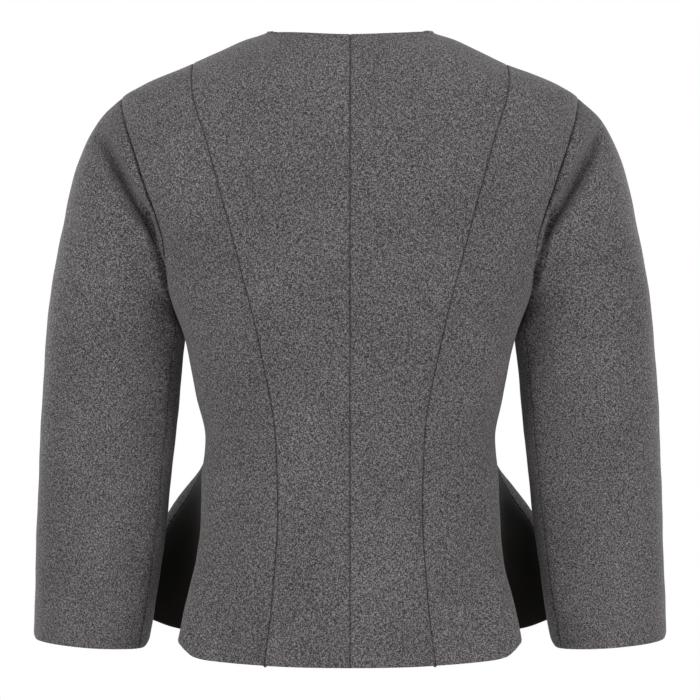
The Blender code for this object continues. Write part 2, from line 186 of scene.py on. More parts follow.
@dataclass(frozen=True)
class HemRow:
    """Hem heights at a share of each half's girth, from its centre line to the side seam."""

    share: float
    back_z: float
    front_z: float


@dataclass(frozen=True)
class Ring:
    """A ring of the sleeve: its outer and inner points, half depth and centre."""

    along: float
    out_x: float
    out_z: float
    in_x: float
    in_z: float
    half_depth: float
    centre_y: float


@dataclass(frozen=True)
class Ripple:
    """A wave through the cloth: radians for each metre along x, y and z, and where it starts."""

    x: float
    y: float
    z: float
    start: float = 0.0

    def at(self, points: np.ndarray) -> np.ndarray:
        """Height of the wave at points, from -1 to 1."""
        return np.sin(points @ np.array((self.x, self.y, self.z)) + self.start)


def between(low: np.ndarray, high: np.ndarray, share: np.ndarray) -> np.ndarray:
    """The value at a share of the way from low to high."""
    return low + (high - low) * share


def eased(share: np.ndarray) -> np.ndarray:
    """A share from 0 to 1 that starts and stops gently."""
    return (3 - 2 * share) * share * share


def beside_line(points: np.ndarray, start: Pair, end: Pair) -> tuple[np.ndarray, np.ndarray]:
    """Where points lie beside a straight line, seen square on from the back or the front.

    Args:
        points: Points, last axis x, y, z.
        start: x and z of the line's start.
        end: x and z of its end.

    Returns:
        Share of the line that each point has reached, and its distance to one side of the line.
    """
    run = np.subtract(end, start)
    offset = points[..., [0, 2]] - np.array(start)
    along = offset @ run / (run @ run)
    aside = (offset[..., 0] * run[1] - offset[..., 1] * run[0]) / np.linalg.norm(run)
    return along, aside


@dataclass(frozen=True)
class Crease:
    """A soft trough, or a ridge where depth is negative, seen square on from one half's side.

    right is the share of the depth that the same crease has on the wearer's right. full is the share of its
    length that has the whole depth, and it dies away over fade past that.
    """

    half: Half
    start: Pair
    end: Pair
    depth: float
    width: float
    right: float = 1.0
    full: float = 0.8
    fade: float = 0.16

    def press(self, points: np.ndarray, normals: np.ndarray, side: Side) -> np.ndarray:
        """How far the crease moves each point inwards.

        Args:
            points: Left-side points, last axis x, y, z.
            normals: Outward normals at the points.
            side: The side that the piece is for.

        Returns:
            Depths, in metres.
        """
        along, aside = beside_line(points, self.start, self.end)
        past = np.maximum(0.0, np.abs(along - 0.5) - self.full / 2) / self.fade
        facing = np.sqrt(np.clip(normals[..., 1] * self.half.sign, 0.0, 1.0))
        share = 1.0 if side is Side.LEFT else self.right
        return self.depth * share * facing * np.exp(-(past**2) - (aside / self.width) ** 2)


class SmoothCurve:
    """The monotone cubic through values at rising knots, level past both ends."""

    def __init__(self, knots: Sequence[float], values: Sequence[float]) -> None:
        """Work out the slope at each knot.

        Args:
            knots: Places along the curve, rising.
            values: The curve's value at each.
        """
        self.knots, self.values = np.asarray(knots, float), np.asarray(values, float)
        self.step = np.diff(self.knots)
        rise = np.diff(self.values) / self.step
        self.slope = np.concatenate(([rise[0]], np.zeros(len(rise) - 1), [rise[-1]]))
        for i in range(1, len(rise)):
            if rise[i - 1] * rise[i] > 0:
                before = self.step[i] * 2 + self.step[i - 1]
                after = self.step[i] + self.step[i - 1] * 2
                self.slope[i] = (before + after) / (before / rise[i - 1] + after / rise[i])

    def __call__(self, at: np.ndarray) -> np.ndarray:
        """Read the curve.

        Args:
            at: Places to read it at.

        Returns:
            Its values there.
        """
        at = np.clip(at, self.knots[0], self.knots[-1])
        i = np.clip(np.searchsorted(self.knots, at) - 1, 0, len(self.step) - 1)
        t = (at - self.knots[i]) / self.step[i]
        lift = eased(t)
        ends = self.values[i] * (1 - lift) + self.values[i + 1] * lift
        bend = self.slope[i] * (1 - t) - self.slope[i + 1] * t
        return ends + self.step[i] * t * (1 - t) * bend


def column_curves(rows: Sequence[object], key: str) -> dict[str, SmoothCurve]:
    """Curves for the columns of a table.

    Args:
        rows: The table's rows, all of one dataclass.
        key: The column that the others are read against.

    Returns:
        A curve for each other column, by its name.
    """
    ordered = sorted(rows, key=lambda row: getattr(row, key))
    knots = [getattr(row, key) for row in ordered]
    names = [item.name for item in fields(ordered[0]) if item.name != key]
    return {name: SmoothCurve(knots, [getattr(row, name) for row in ordered]) for name in names}


@dataclass
class BodyForm:
    """The form that the torso cloth keeps: level sections, flare of the skirt, armhole and neckline."""

    neck_half_width: float = 0.0722
    back_neck_drop: float = 0.0129
    back_neck_curve: float = 0.9
    front_neck_drop: float = 0.092
    shoulder_panel_seam_z: float = -0.030
    shoulder_end_z: float = -0.0580
    underarm_z: float = -0.235
    underarm_y: float = 0.015
    armhole_back_reach: float = 0.052
    armhole_front_reach: float = 0.050
    front_notch: float = math.radians(-112)
    ridge_turn: float = 0.36
    ridge_forward: float = 0.15
    back_corner_turn: float = 0.34
    lap_step_starts: float = 0.040
    steps: int = 240
    chunk: int = 4000
    normal_reach: float = 0.002
    hem_rounds: int = 6
    sections: tuple[Section, ...] = (
        Section(0.000, 0.0722, 0.000, 0.062, -0.055, 2.0, 2.0),
        Section(-0.030, 0.1365, 0.000, 0.079, -0.076, 2.0, 2.0),
        Section(-0.050, 0.1838, 0.000, 0.087, -0.089, 2.1, 2.0),
        Section(-0.062, 0.2010, 0.000, 0.091, -0.096, 2.2, 2.0),
        Section(-0.085, 0.2050, 0.001, 0.097, -0.107, 2.3, 2.1),
        Section(-0.144, 0.1890, 0.008, 0.104, -0.130, 2.6, 2.3),
        Section(-0.193, 0.1690, 0.013, 0.105, -0.142, 2.6, 2.4),
        Section(-0.235, 0.1562, 0.015, 0.102, -0.145, 2.5, 2.4),
        Section(-0.272, 0.1440, 0.012, 0.097, -0.139, 2.4, 2.3),
        Section(-0.320, 0.1345, 0.006, 0.089, -0.121, 2.3, 2.2),
        Section(-0.360, 0.1272, 0.000, 0.085, -0.108, 2.3, 2.2),
        Section(-0.390, 0.1300, -0.002, 0.089, -0.111, 2.3, 2.2),
        Section(-0.430, 0.1305, -0.004, 0.097, -0.124, 2.3, 2.2),
        Section(-0.480, 0.1310, -0.005, 0.107, -0.138, 2.4, 2.2),
        Section(-0.560, 0.1330, -0.006, 0.117, -0.150, 2.5, 2.2),
    )
    flares: tuple[Flare, ...] = (
        Flare(-0.360, 0.000, 0.000),
        Flare(-0.387, 0.017, 0.004),
        Flare(-0.405, 0.034, 0.005),
        Flare(-0.424, 0.0495, 0.006),
        Flare(-0.460, 0.069, 0.011),
        Flare(-0.500, 0.081, 0.0215),
        Flare(-0.560, 0.087, 0.0340),
    )
    back_princess: tuple[SeamRow, ...] = (
        SeamRow(-0.030, 0.1365),
        SeamRow(-0.058, 0.1345),
        SeamRow(-0.103, 0.1215),
        SeamRow(-0.192, 0.0970),
        SeamRow(-0.277, 0.0760),
        SeamRow(-0.357, 0.0628),
        SeamRow(-0.417, 0.0608),
        SeamRow(-0.487, 0.0650),
        SeamRow(-0.560, 0.0735),
    )
    front_panel_seam: tuple[TurnRow, ...] = (
        TurnRow(-0.215, 0.43),
        TurnRow(-0.260, 0.39),
        TurnRow(-0.320, 0.25),
        TurnRow(-0.355, 0.165),
        TurnRow(-0.385, 0.150),
        TurnRow(-0.410, 0.175),
        TurnRow(-0.435, 0.220),
        TurnRow(-0.470, 0.245),
        TurnRow(-0.560, 0.255),
    )
    hem: tuple[HemRow, ...] = (
        HemRow(0.00, -0.5433, -0.5320),
        HemRow(0.35, -0.5430, -0.5280),
        HemRow(0.54, -0.5416, -0.5226),
        HemRow(0.60, -0.5396, -0.5213),
        HemRow(0.64, -0.5352, -0.5210),
        HemRow(0.69, -0.5305, -0.5228),
        HemRow(0.76, -0.5298, -0.5275),
        HemRow(0.84, -0.5303, -0.5315),
        HemRow(1.00, -0.5340, -0.5340),
    )

    def __post_init__(self) -> None:
        """Draw the curves through the tables, and find the notch where the front panel seam ends."""
        self.body = column_curves(self.sections, "z")
        self.flare = column_curves(self.flares, "z")
        self.princess_x = column_curves(self.back_princess, "z")["x"]
        self.panel_turn = column_curves(self.front_panel_seam, "z")["turn"]
        self.hem_z = column_curves(self.hem, "share")
        self.notch = self.armhole_edge(np.array([self.front_notch]))[0]

    def section(self, half: Half, z: np.ndarray) -> tuple[np.ndarray, np.ndarray, np.ndarray]:
        """Level sections of one half, from its centre line to the side seam.

        Args:
            half: Back or front.
            z: Heights, one a row.

        Returns:
            x, y and the length along the cloth, a row for each height.
        """
        z = np.asarray(z, float)[:, None]
        angle = np.linspace(0, np.pi / 2, self.steps)[None, :]
        power = 2 / self.body[half.value + "_square"](z)
        side_y = self.body["side_y"](z)
        x = self.body["half_width"](z) * np.sin(angle) ** power
        y = side_y + (self.body[half.value + "_y"](z) - side_y) * np.cos(angle) ** power
        turn = 1 - angle / (np.pi / 2)
        if half is Half.BACK:
            x = x + self.flare["back_corner"](z) * self.bell(turn, self.back_corner_turn)
        else:
            ridge = self.flare["ridge"](z) * self.bell(turn, self.ridge_turn)
            x, y = x + ridge, y - ridge * self.ridge_forward
        run = np.cumsum(np.hypot(np.diff(x), np.diff(y)), axis=1)
        return x, y, np.concatenate((np.zeros((len(run), 1)), run), axis=1)

    @staticmethod
    def bell(turn: np.ndarray, peak: float) -> np.ndarray:
        """A smooth hump of height 1 at the peak, 0 at the side seam and at twice the peak."""
        return np.sin(np.pi * np.clip(turn / (2 * peak), 0, 1)) ** 2

    def point(self, half: Half, along: np.ndarray, z: np.ndarray) -> np.ndarray:
        """Points of the body at lengths along the cloth from one half's centre line.

        Args:
            half: Back or front.
            along: Lengths; past the centre line they are negative.
            z: Heights.

        Returns:
            The points, one a row.
        """
        count = max(1, math.ceil(len(along) / self.chunk))
        parts = zip(np.array_split(along, count), np.array_split(z, count), strict=True)
        return np.concatenate([self._point(half, *part) for part in parts])

    def _point(self, half: Half, along: np.ndarray, z: np.ndarray) -> np.ndarray:
        """As point, for a chunk that is worked out at once.

        Args:
            half: Back or front.
            along: Lengths.
            z: Heights.

        Returns:
            The points.
        """
        x, y, length = self.section(half, z)
        reach = np.abs(along)
        after = np.clip((length < reach[:, None]).sum(axis=1), 1, self.steps - 1)
        row = np.arange(len(z))
        low, high = length[row, after - 1], length[row, after]
        share = np.clip((reach - low) / (high - low), 0, 1)
        place_x = between(x[row, after - 1], x[row, after], share)
        place_y = between(y[row, after - 1], y[row, after], share)
        return np.stack((np.copysign(place_x, along), place_y, z), axis=-1)

    def girth(self, half: Half, z: np.ndarray) -> np.ndarray:
        """Lengths along the cloth from one half's centre line to the side or shoulder seam."""
        return self.section(half, z)[2][:, -1]

    def along_at(self, half: Half, mark: Mark, value: np.ndarray, z: np.ndarray) -> np.ndarray:
        """Lengths along the cloth to where one half first reaches a mark.

        Args:
            half: Back or front.
            mark: What the values measure.
            value: Values to reach, one for each height.
            z: Heights.

        Returns:
            The lengths.
        """
        *places, length = self.section(half, z)
        place = places[mark.value]
        way = 1 if mark is Mark.X else -half.sign
        reached = place * way >= value[:, None] * way
        step = np.where(reached.any(axis=1), np.maximum(reached.argmax(axis=1), 1), self.steps - 1)
        row = np.arange(len(z))
        low, high = place[row, step - 1], place[row, step]
        share = np.clip((value - low) / np.where(high == low, 1.0, high - low), 0, 1)
        return between(length[row, step - 1], length[row, step], share)

    def along_at_turn(self, turn: np.ndarray, z: np.ndarray) -> np.ndarray:
        """Lengths along the front from its centre line.

        Args:
            turn: Turns, 0 at the side seam and 1 at the centre line.
            z: Heights.

        Returns:
            The lengths.
        """
        length = self.section(Half.FRONT, z)[2]
        step = (1 - turn) * (self.steps - 1)
        low = np.clip(step.astype(int), 0, self.steps - 2)
        row = np.arange(len(z))
        return between(length[row, low], length[row, low + 1], step - low)

    def outward(self, half: Half, along: np.ndarray, z: np.ndarray) -> np.ndarray:
        """Unit normals of the body surface, out of the jacket.

        Args:
            half: Back or front.
            along: Lengths along the cloth from its centre line.
            z: Heights.

        Returns:
            The normals, one a row.
        """
        step = self.normal_reach
        across = self.point(half, along + step, z) - self.point(half, along - step, z)
        upward = self.point(half, along, z + step) - self.point(half, along, z - step)
        normal = np.cross(upward, across) * half.sign
        return normal / np.linalg.norm(normal, axis=-1, keepdims=True)

    @staticmethod
    def _halves(turn: np.ndarray) -> list[tuple[Half, np.ndarray]]:
        """The halves that turns round the armhole lie on, each with where its turns are."""
        parts = ((Half.BACK, turn > 0), (Half.FRONT, turn <= 0))
        return [(half, part) for half, part in parts if part.any()]

    def armhole_edge(self, turn: np.ndarray) -> np.ndarray:
        """The armhole on the flat cloth.

        Args:
            turn: Turns from the shoulder end; positive ones go down the back.

        Returns:
            Length along its half and height, one pair a row.
        """
        middle = (self.shoulder_end_z + self.underarm_z) / 2
        z = middle + (self.shoulder_end_z - middle) * np.cos(turn)
        reach = np.where(turn > 0, self.armhole_back_reach, self.armhole_front_reach)
        y = self.underarm_y * (1 - np.cos(turn)) / 2 + reach * np.sin(turn)
        along = np.zeros(len(turn))
        for half, part in self._halves(turn):
            along[part] = self.along_at(half, Mark.Y, y[part], z[part])
        return np.stack((along, z), axis=-1)

    def armhole_point(self, turn: np.ndarray) -> np.ndarray:
        """The armhole on the body surface.

        Args:
            turn: Turns from the shoulder end.

        Returns:
            Its points, one a row.
        """
        edge = self.armhole_edge(turn)
        points = np.zeros((len(turn), 3))
        for half, part in self._halves(turn):
            points[part] = self.point(half, edge[part, 0], edge[part, 1])
        return points

    def shoulder_edge(self, half: Half, z: np.ndarray) -> np.ndarray:
        """The shoulder seam on one half's flat cloth."""
        return np.stack((self.girth(half, z), z), axis=-1)

    def back_neck_edge(self, share: np.ndarray) -> np.ndarray:
        """The back neckline on the flat cloth.

        Args:
            share: Shares of the way from the centre back to the neck point.

        Returns:
            Length along the back and height, one pair a row.
        """
        turn = share * np.pi / 2
        z = -self.back_neck_drop * np.maximum(0.0, np.cos(turn)) ** self.back_neck_curve
        x = self.neck_half_width * np.sin(turn)
        return np.stack((self.along_at(Half.BACK, Mark.X, x, z), z), axis=-1)

    def front_neck_z(self, x: np.ndarray) -> np.ndarray:
        """Heights of the front neckline, a quarter oval, at distances from the centre plane."""
        return -self.front_neck_drop * np.sqrt(np.maximum(0.0, 1 - (x / self.neck_half_width) ** 2))

    def front_neck_edge(self, share: np.ndarray) -> np.ndarray:
        """The front neckline on the flat cloth.

        Args:
            share: Shares of the way from the neck point to where the lap step starts.

        Returns:
            Length along the front and height, one pair a row.
        """
        end = math.acos(self.lap_step_starts / self.neck_half_width)
        x = self.neck_half_width * np.cos(end * share)
        z = self.front_neck_z(x)
        return np.stack((self.along_at(Half.FRONT, Mark.X, x, z), z), axis=-1)

    def princess_along(self, z: np.ndarray) -> np.ndarray:
        """Back princess seam: lengths along the cloth from the centre back."""
        return self.along_at(Half.BACK, Mark.X, self.princess_x(z), z)

    def panel_seam_along(self, z: np.ndarray) -> np.ndarray:
        """Front panel seam, up to the armhole's notch.

        Args:
            z: Heights.

        Returns:
            Lengths along the cloth from the centre front.
        """
        notch_along, notch_z = self.notch
        top_z = self.front_panel_seam[0].z
        ease = np.maximum(0.0, (z - top_z) / (notch_z - top_z)) ** 2
        return between(self.along_at_turn(self.panel_turn(z), z), notch_along, ease)

    def hem_edge(self, half: Half, along_at: Edge) -> np.ndarray:
        """Where a seam meets the hem, as length along the cloth and height.

        Args:
            half: Back or front.
            along_at: The seam's length along the cloth at heights.

        Returns:
            The pair.
        """
        curve = self.hem_z[half.value + "_z"]
        z = curve(np.array([0.5]))
        for _ in range(self.hem_rounds):
            along = along_at(z)
            z = curve(np.abs(along) / self.girth(half, z))
        return np.array((along[0], z[0]))

    def hem_between(self, half: Half, start: np.ndarray, end: np.ndarray) -> Edge:
        """The hem's edge from one seam to the next.

        Args:
            half: Back or front.
            start: Where the first seam meets the hem.
            end: Where the next one does.

        Returns:
            The edge.
        """

        def edge(share: np.ndarray) -> np.ndarray:
            """Flat points of the hem.

            Args:
                share: Shares of the way from the first seam to the next.

            Returns:
                Length along the cloth and height, one pair a row.
            """
            flat = between(start, end, share[:, None])
            share_of_half = flat[:, 0] / self.girth(half, flat[:, 1])
            return np.stack((flat[:, 0], self.hem_z[half.value + "_z"](share_of_half)), axis=-1)

        return edge


def seam_between(along_at: Edge, bottom_z: float, top_z: float) -> Edge:
    """The edge along a seam that is known at each height, from the bottom up.

    Args:
        along_at: The seam's length along the cloth at heights.
        bottom_z: Height where the edge starts.
        top_z: Height where it ends.

    Returns:
        The edge.
    """

    def edge(share: np.ndarray) -> np.ndarray:
        """Flat points of the seam at shares of the way."""
        z = between(bottom_z, top_z, share)
        return np.stack((along_at(z), z), axis=-1)

    return edge


def chain(*stretches: tuple[float, Edge]) -> Edge:
    """One edge from several stretches.

    Args:
        stretches: The share at which each ends, and its own edge.

    Returns:
        The edge.
    """

    def edge(share: np.ndarray) -> np.ndarray:
        """Flat points of the chain.

        Args:
            share: Shares of the way along it.

        Returns:
            Length along the cloth and height, one pair a row.
        """
        flat = np.zeros((len(share), 2))
        begin = 0.0
        for end, stretch in stretches:
            part = (share >= begin) & (share <= end + TINY)
            if part.any():
                flat[part] = stretch(np.clip((share[part] - begin) / (end - begin), 0, 1))
            begin = end
        return flat

    return edge


def cut_piece(
    left: Edge, right: Edge, bottom: Edge, top: Edge, columns: np.ndarray, rows: np.ndarray
) -> np.ndarray:
    """Fill in a pattern piece between its four edges.

    Args:
        left: Its left edge, from the bottom up.
        right: Its right edge, from the bottom up.
        bottom: Its bottom edge, from left to right.
        top: Its top edge, from left to right.
        columns: Shares across the piece.
        rows: Shares up the piece.

    Returns:
        Flat points by column and row: length along the cloth, and height.
    """
    u, v = columns[:, None, None], rows[None, :, None]
    ends = np.array((0.0, 1.0))
    low, high = bottom(ends), top(ends)
    ruled = (1 - u) * left(rows)[None] + u * right(rows)[None]
    ruled = ruled + (1 - v) * bottom(columns)[:, None] + v * top(columns)[:, None]
    corners = (1 - v) * between(low[0], low[1], u) + v * between(high[0], high[1], u)
    return ruled - corners


def steps_to_edges(count: int, first: float) -> np.ndarray:
    """Even shares from 0 to 1, closed up towards both ends for the roll of an edge.

    Args:
        count: Number of even steps.
        first: Share of the first step in from an end.

    Returns:
        The shares, rising.
    """
    near = first * np.array(EDGE_STEPS)
    inner = np.linspace(near[-1] * EDGE_GAP, 1 - near[-1] * EDGE_GAP, count)
    return np.concatenate((near, inner, 1 - near[::-1]))


def length_in(points: np.ndarray, axis: int) -> np.ndarray:
    """Length along the cloth from the first point of each line of a grid."""
    run = np.cumsum(np.linalg.norm(np.diff(points, axis=axis), axis=-1), axis=axis)
    return np.concatenate((np.zeros_like(run.take([0], axis)), run), axis=axis)


@dataclass(frozen=True)
class Cut:
    """The grid of one cut piece: its points in place, and where each lies across and up the grain."""

    points: np.ndarray
    across: np.ndarray
    up: np.ndarray


@dataclass(frozen=True)
class Rims:
    """How the four edges of a cloth piece are made."""

    left: Rim = Rim.SEAM
    right: Rim = Rim.SEAM
    bottom: Rim = Rim.FOLDED
    top: Rim = Rim.SEAM

    def at(self, border: Border) -> Rim:
        """How one edge is made."""
        return getattr(self, border.name.lower())


class Nodes:
    """A shorthand for building a material's nodes."""

    def __init__(self, name: str) -> None:
        """Start a material with its Principled shader.

        Args:
            name: The material's name.
        """
        self.material = bpy.data.materials.new(name)
        self.material.use_nodes = True
        self.tree = self.material.node_tree
        self.shader = self.tree.nodes["Principled BSDF"]

    def add(self, kind: str, inputs: dict[str | int, object], **settings: object) -> bpy.types.Node:
        """Add a node.

        Args:
            kind: Its type, without the leading ShaderNode.
            inputs: Values or sockets for its inputs, by name or number.
            settings: Its own properties.

        Returns:
            The node.
        """
        node = self.tree.nodes.new("ShaderNode" + kind)
        for name, value in settings.items():
            setattr(node, name, value)
        for name, value in inputs.items():
            self.put(node.inputs[name], value)
        return node

    def put(self, socket: Socket, value: object) -> None:
        """Set an input, or link it.

        Args:
            socket: The input.
            value: Its value, or the socket to link it to.
        """
        if isinstance(value, Socket):
            self.tree.links.new(value, socket)
        else:
            socket.default_value = value

    def coordinates(self, kind: str) -> Socket:
        """Places on the piece, by the name of the coordinates."""
        return self.add("TexCoord", {}).outputs[kind]

    def math(self, operation: str, first: object, second: object, third: object = 0.0) -> Socket:
        """The result of a sum of two or three values."""
        return self.add("Math", {0: first, 1: second, 2: third}, operation=operation).outputs[0]

    def noise(self, inputs: dict[str | int, object], dimensions: str = "3D") -> Socket:
        """The value of a noise."""
        return self.add("TexNoise", inputs, noise_dimensions=dimensions).outputs["Fac"]

    def twist(self, inputs: dict[str | int, object]) -> Socket:
        """The value of slanting bands."""
        return self.add("TexWave", inputs, bands_direction="DIAGONAL").outputs["Fac"]

    def stretched(self, place: Socket, scale: Spot) -> Socket:
        """Places drawn out along one way of the cloth."""
        return self.add("Mapping", {"Vector": place, "Scale": scale}).outputs["Vector"]

    def spread(self, value: Socket, ends: Pair, usual: Pair = NOISE_RANGE) -> Socket:
        """A value's usual range, spread over another."""
        inputs = {0: value, 1: usual[0], 2: usual[1], 3: ends[0], 4: ends[1]}
        return self.add("MapRange", inputs).outputs[0]

    def ramp(self, value: Socket, stops: Sequence[float], *colours: Colour) -> Socket:
        """Colours along a value.

        Args:
            value: The value.
            stops: Where each colour stands, rising.
            colours: The colours.

        Returns:
            The colour.
        """
        node = self.add("ValToRGB", {"Fac": value})
        elements = node.color_ramp.elements
        for place in (0, -1):
            elements[place].position = stops[place]
            elements[place].color = colours[place]
        for stop, colour in zip(stops[1:-1], colours[1:-1], strict=True):
            elements.new(stop).color = colour
        return node.outputs["Color"]

    def bump(self, height: Socket, strength: float, distance: float) -> Socket:
        """Normals of a surface with a raised pattern."""
        inputs = {"Strength": strength, "Distance": distance, "Height": height}
        return self.add("Bump", inputs).outputs["Normal"]

    def shade(self, inputs: dict[str, object]) -> Material:
        """Finish the material.

        Args:
            inputs: Values or sockets for the shader's inputs, by name.

        Returns:
            The material.
        """
        for name, value in inputs.items():
            self.put(self.shader.inputs[name], value)
        return self.material


@dataclass(frozen=True)
class WoolFinish:
    """Grey wool of dark and pale fibres spun together, in a close twill with a soft nap."""

    name: str = "wool_melange"
    dark: Colour = (0.034, 0.030, 0.031, 1.0)
    middle: Colour = (0.112, 0.103, 0.105, 1.0)
    pale: Colour = (0.290, 0.272, 0.276, 1.0)
    stops: tuple[float, ...] = (0.365, 0.51, 0.655)
    fibre_detail: float = 1.0
    crossing_scale: float = 1500.0
    crossing_scatter: float = 0.7
    crossing_share: float = 0.28
    streak_scale: float = 1300.0
    streak_stretch: float = 0.30
    streak_roughness: float = 0.6
    streak_share: float = 0.36
    twill_scale: float = 210.0
    twill_waver: float = 1.5
    twill_share: float = 0.02
    cloud_scale: float = 11.0
    cloud_detail: float = 2.0
    cloud_strength: float = 0.10
    # Painted shade: how much the seam attribute darkens the colour in the seam grooves
    seam_shade: float = 0.50
    roughness: Pair = (0.98, 0.84)
    relief: float = 0.00025
    relief_strength: float = 0.6
    nap: float = 0.18
    nap_roughness: float = 0.5
    gloss: float = 0.15

    def make(self) -> Material:
        """Build the material on the cloth's own UV map, which is in metres along the grain.

        Returns:
            The material.
        """
        nodes = Nodes(self.name)
        flat = nodes.coordinates("UV")
        fibre = self._fibre(nodes, flat)
        return nodes.shade(
            {
                "Base Color": self._colour(nodes, flat, fibre),
                "Roughness": nodes.spread(fibre, self.roughness),
                "Normal": nodes.bump(fibre, self.relief_strength, self.relief),
                "Sheen Weight": self.nap,
                "Sheen Roughness": self.nap_roughness,
                "Specular IOR Level": self.gloss,
            }
        )

    def _fibre(self, nodes: Nodes, flat: Socket) -> Socket:
        """How pale the fibres are: flecks where yarns cross, streaks both ways and a faint twill line.

        Args:
            nodes: The material's nodes.
            flat: Place on the flat cloth.

        Returns:
            The value.
        """
        cells = {"Vector": flat, "Scale": self.crossing_scale, "Randomness": self.crossing_scatter}
        crossing = nodes.add("TexVoronoi", cells, voronoi_dimensions="2D").outputs["Color"]
        fleck = nodes.add("SeparateColor", {"Color": crossing}).outputs[0]
        warp = self._streaks(nodes, nodes.stretched(flat, (1.0, self.streak_stretch, 1.0)))
        weft = self._streaks(nodes, nodes.stretched(flat, (self.streak_stretch, 1.0, 1.0)))
        streaks = nodes.math("MULTIPLY", nodes.math("ADD", warp, weft), self.streak_share)
        mixed = nodes.math("MULTIPLY_ADD", fleck, self.crossing_share, streaks)
        bands = {"Vector": flat, "Scale": self.twill_scale, "Distortion": self.twill_waver}
        twill = nodes.twist({**bands, "Detail": self.fibre_detail})
        line = nodes.math("MULTIPLY_ADD", twill, self.twill_share, -self.twill_share / 2)
        return nodes.math("ADD", mixed, line)

    def _streaks(self, nodes: Nodes, place: Socket) -> Socket:
        """Fibre noise along the warp or the weft."""
        inputs = {"Vector": place, "Scale": self.streak_scale, "Detail": self.fibre_detail}
        return nodes.noise({**inputs, "Roughness": self.streak_roughness}, "2D")

    def _colour(self, nodes: Nodes, flat: Socket, fibre: Socket) -> Socket:
        """Dark and pale fibres, slightly clouded over the piece, and darker down in the seams from painted
        shade.

        Args:
            nodes: The material's nodes.
            flat: Place on the flat cloth.
            fibre: How pale the fibres are.

        Returns:
            The colour.
        """
        colour = nodes.ramp(fibre, self.stops, self.dark, self.middle, self.pale)
        cloud = nodes.noise({"Vector": flat, "Scale": self.cloud_scale, "Detail": self.cloud_detail})
        lift = nodes.spread(cloud, (1 - self.cloud_strength, 1 + self.cloud_strength))
        # Painted shade in the seam grooves, read from the seam attribute
        seam = nodes.add("Attribute", {}, attribute_name="seam").outputs["Fac"]
        shade = nodes.math("SUBTRACT", 1.0, nodes.math("MULTIPLY", seam, self.seam_shade))
        value = nodes.math("MULTIPLY", lift, shade)
        return nodes.add("HueSaturation", {"Color": colour, "Value": value}).outputs["Color"]


@dataclass(frozen=True)
class PaintedRecessShadeFinish:
    """Plain near-black cloth, close and smooth, with a slight satin bloom: painted shade for the deep
    shadow in the hip recess, on the hip insets.
    """

    name: str = "lining_black"
    # Near-black colours that stand in for the deep shadow of the hip recess (painted shade)
    dark: Colour = (0.0100, 0.0092, 0.0075, 1.0)
    pale: Colour = (0.0150, 0.0138, 0.0115, 1.0)
    stops: Pair = (0.35, 0.65)
    yarn_scale: float = 1400.0
    yarn_detail: float = 2.0
    yarn_stretch: Spot = (1.0, 0.2, 1.0)
    roughness: Pair = (0.62, 0.74)
    relief: float = 0.0001
    relief_strength: float = 0.3
    gloss: float = 0.06

    def make(self) -> Material:
        """Build the material on the cloth's own UV map.

        Returns:
            The material.
        """
        nodes = Nodes(self.name)
        place = nodes.stretched(nodes.coordinates("UV"), self.yarn_stretch)
        yarn = nodes.noise({"Vector": place, "Scale": self.yarn_scale, "Detail": self.yarn_detail}, "2D")
        return nodes.shade(
            {
                "Base Color": nodes.ramp(yarn, self.stops, self.dark, self.pale),
                "Roughness": nodes.spread(yarn, self.roughness),
                "Normal": nodes.bump(yarn, self.relief_strength, self.relief),
                "Specular IOR Level": self.gloss,
            }
        )


@dataclass(frozen=True)
class ButtonFinish:
    """Dark clouded horn, finely scratched."""

    name: str = "button_horn"
    dark: Colour = (0.012, 0.011, 0.011, 1.0)
    pale: Colour = (0.050, 0.045, 0.043, 1.0)
    stops: Pair = (0.35, 0.70)
    cloud_scale: float = 160.0
    cloud_detail: float = 4.0
    cloud_swirl: float = 1.4
    scratch_scale: float = 2600.0
    scratch_detail: float = 2.0
    roughness: Pair = (0.30, 0.48)
    relief: float = 0.0001
    relief_strength: float = 0.25

    def make(self) -> Material:
        """Build the material on the object's own coordinates.

        Returns:
            The material.
        """
        nodes = Nodes(self.name)
        place = nodes.coordinates("Object")
        clouds = {"Vector": place, "Scale": self.cloud_scale, "Detail": self.cloud_detail}
        cloud = nodes.noise({**clouds, "Distortion": self.cloud_swirl})
        scratch = nodes.noise({"Vector": place, "Scale": self.scratch_scale, "Detail": self.scratch_detail})
        return nodes.shade(
            {
                "Base Color": nodes.ramp(cloud, self.stops, self.dark, self.pale),
                "Roughness": nodes.spread(cloud, self.roughness),
                "Normal": nodes.bump(scratch, self.relief_strength, self.relief),
            }
        )


@dataclass(frozen=True)
class ThreadFinish:
    """Twisted sewing thread, a little darker than the wool."""

    name: str = "sewing_thread"
    dark: Colour = (0.030, 0.028, 0.028, 1.0)
    pale: Colour = (0.085, 0.079, 0.080, 1.0)
    stops: Pair = (0.15, 0.85)
    ply_scale: float = 420.0
    ply_waver: float = 1.0
    roughness: Pair = (0.6, 0.8)
    relief: float = 0.0002
    relief_strength: float = 0.6

    def make(self) -> Material:
        """Build the material on the object's own coordinates.

        Returns:
            The material.
        """
        nodes = Nodes(self.name)
        place = nodes.coordinates("Object")
        ply = nodes.twist({"Vector": place, "Scale": self.ply_scale, "Distortion": self.ply_waver})
        return nodes.shade(
            {
                "Base Color": nodes.ramp(ply, self.stops, self.dark, self.pale),
                "Roughness": nodes.spread(ply, self.roughness, WHOLE_RANGE),
                "Normal": nodes.bump(ply, self.relief_strength, self.relief),
            }
        )


@dataclass(frozen=True)
class FloorFinish:
    """Plain pale studio floor."""

    name: str = "studio_floor"
    colour: Colour = (0.86, 0.86, 0.86, 1.0)
    grain_scale: float = 3.0
    roughness: Pair = (0.85, 0.95)

    def make(self) -> Material:
        """Build the material.

        Returns:
            The material.
        """
        nodes = Nodes(self.name)
        grain = nodes.noise({"Vector": nodes.coordinates("Object"), "Scale": self.grain_scale})
        rough = nodes.spread(grain, self.roughness, WHOLE_RANGE)
        return nodes.shade({"Base Color": self.colour, "Roughness": rough})


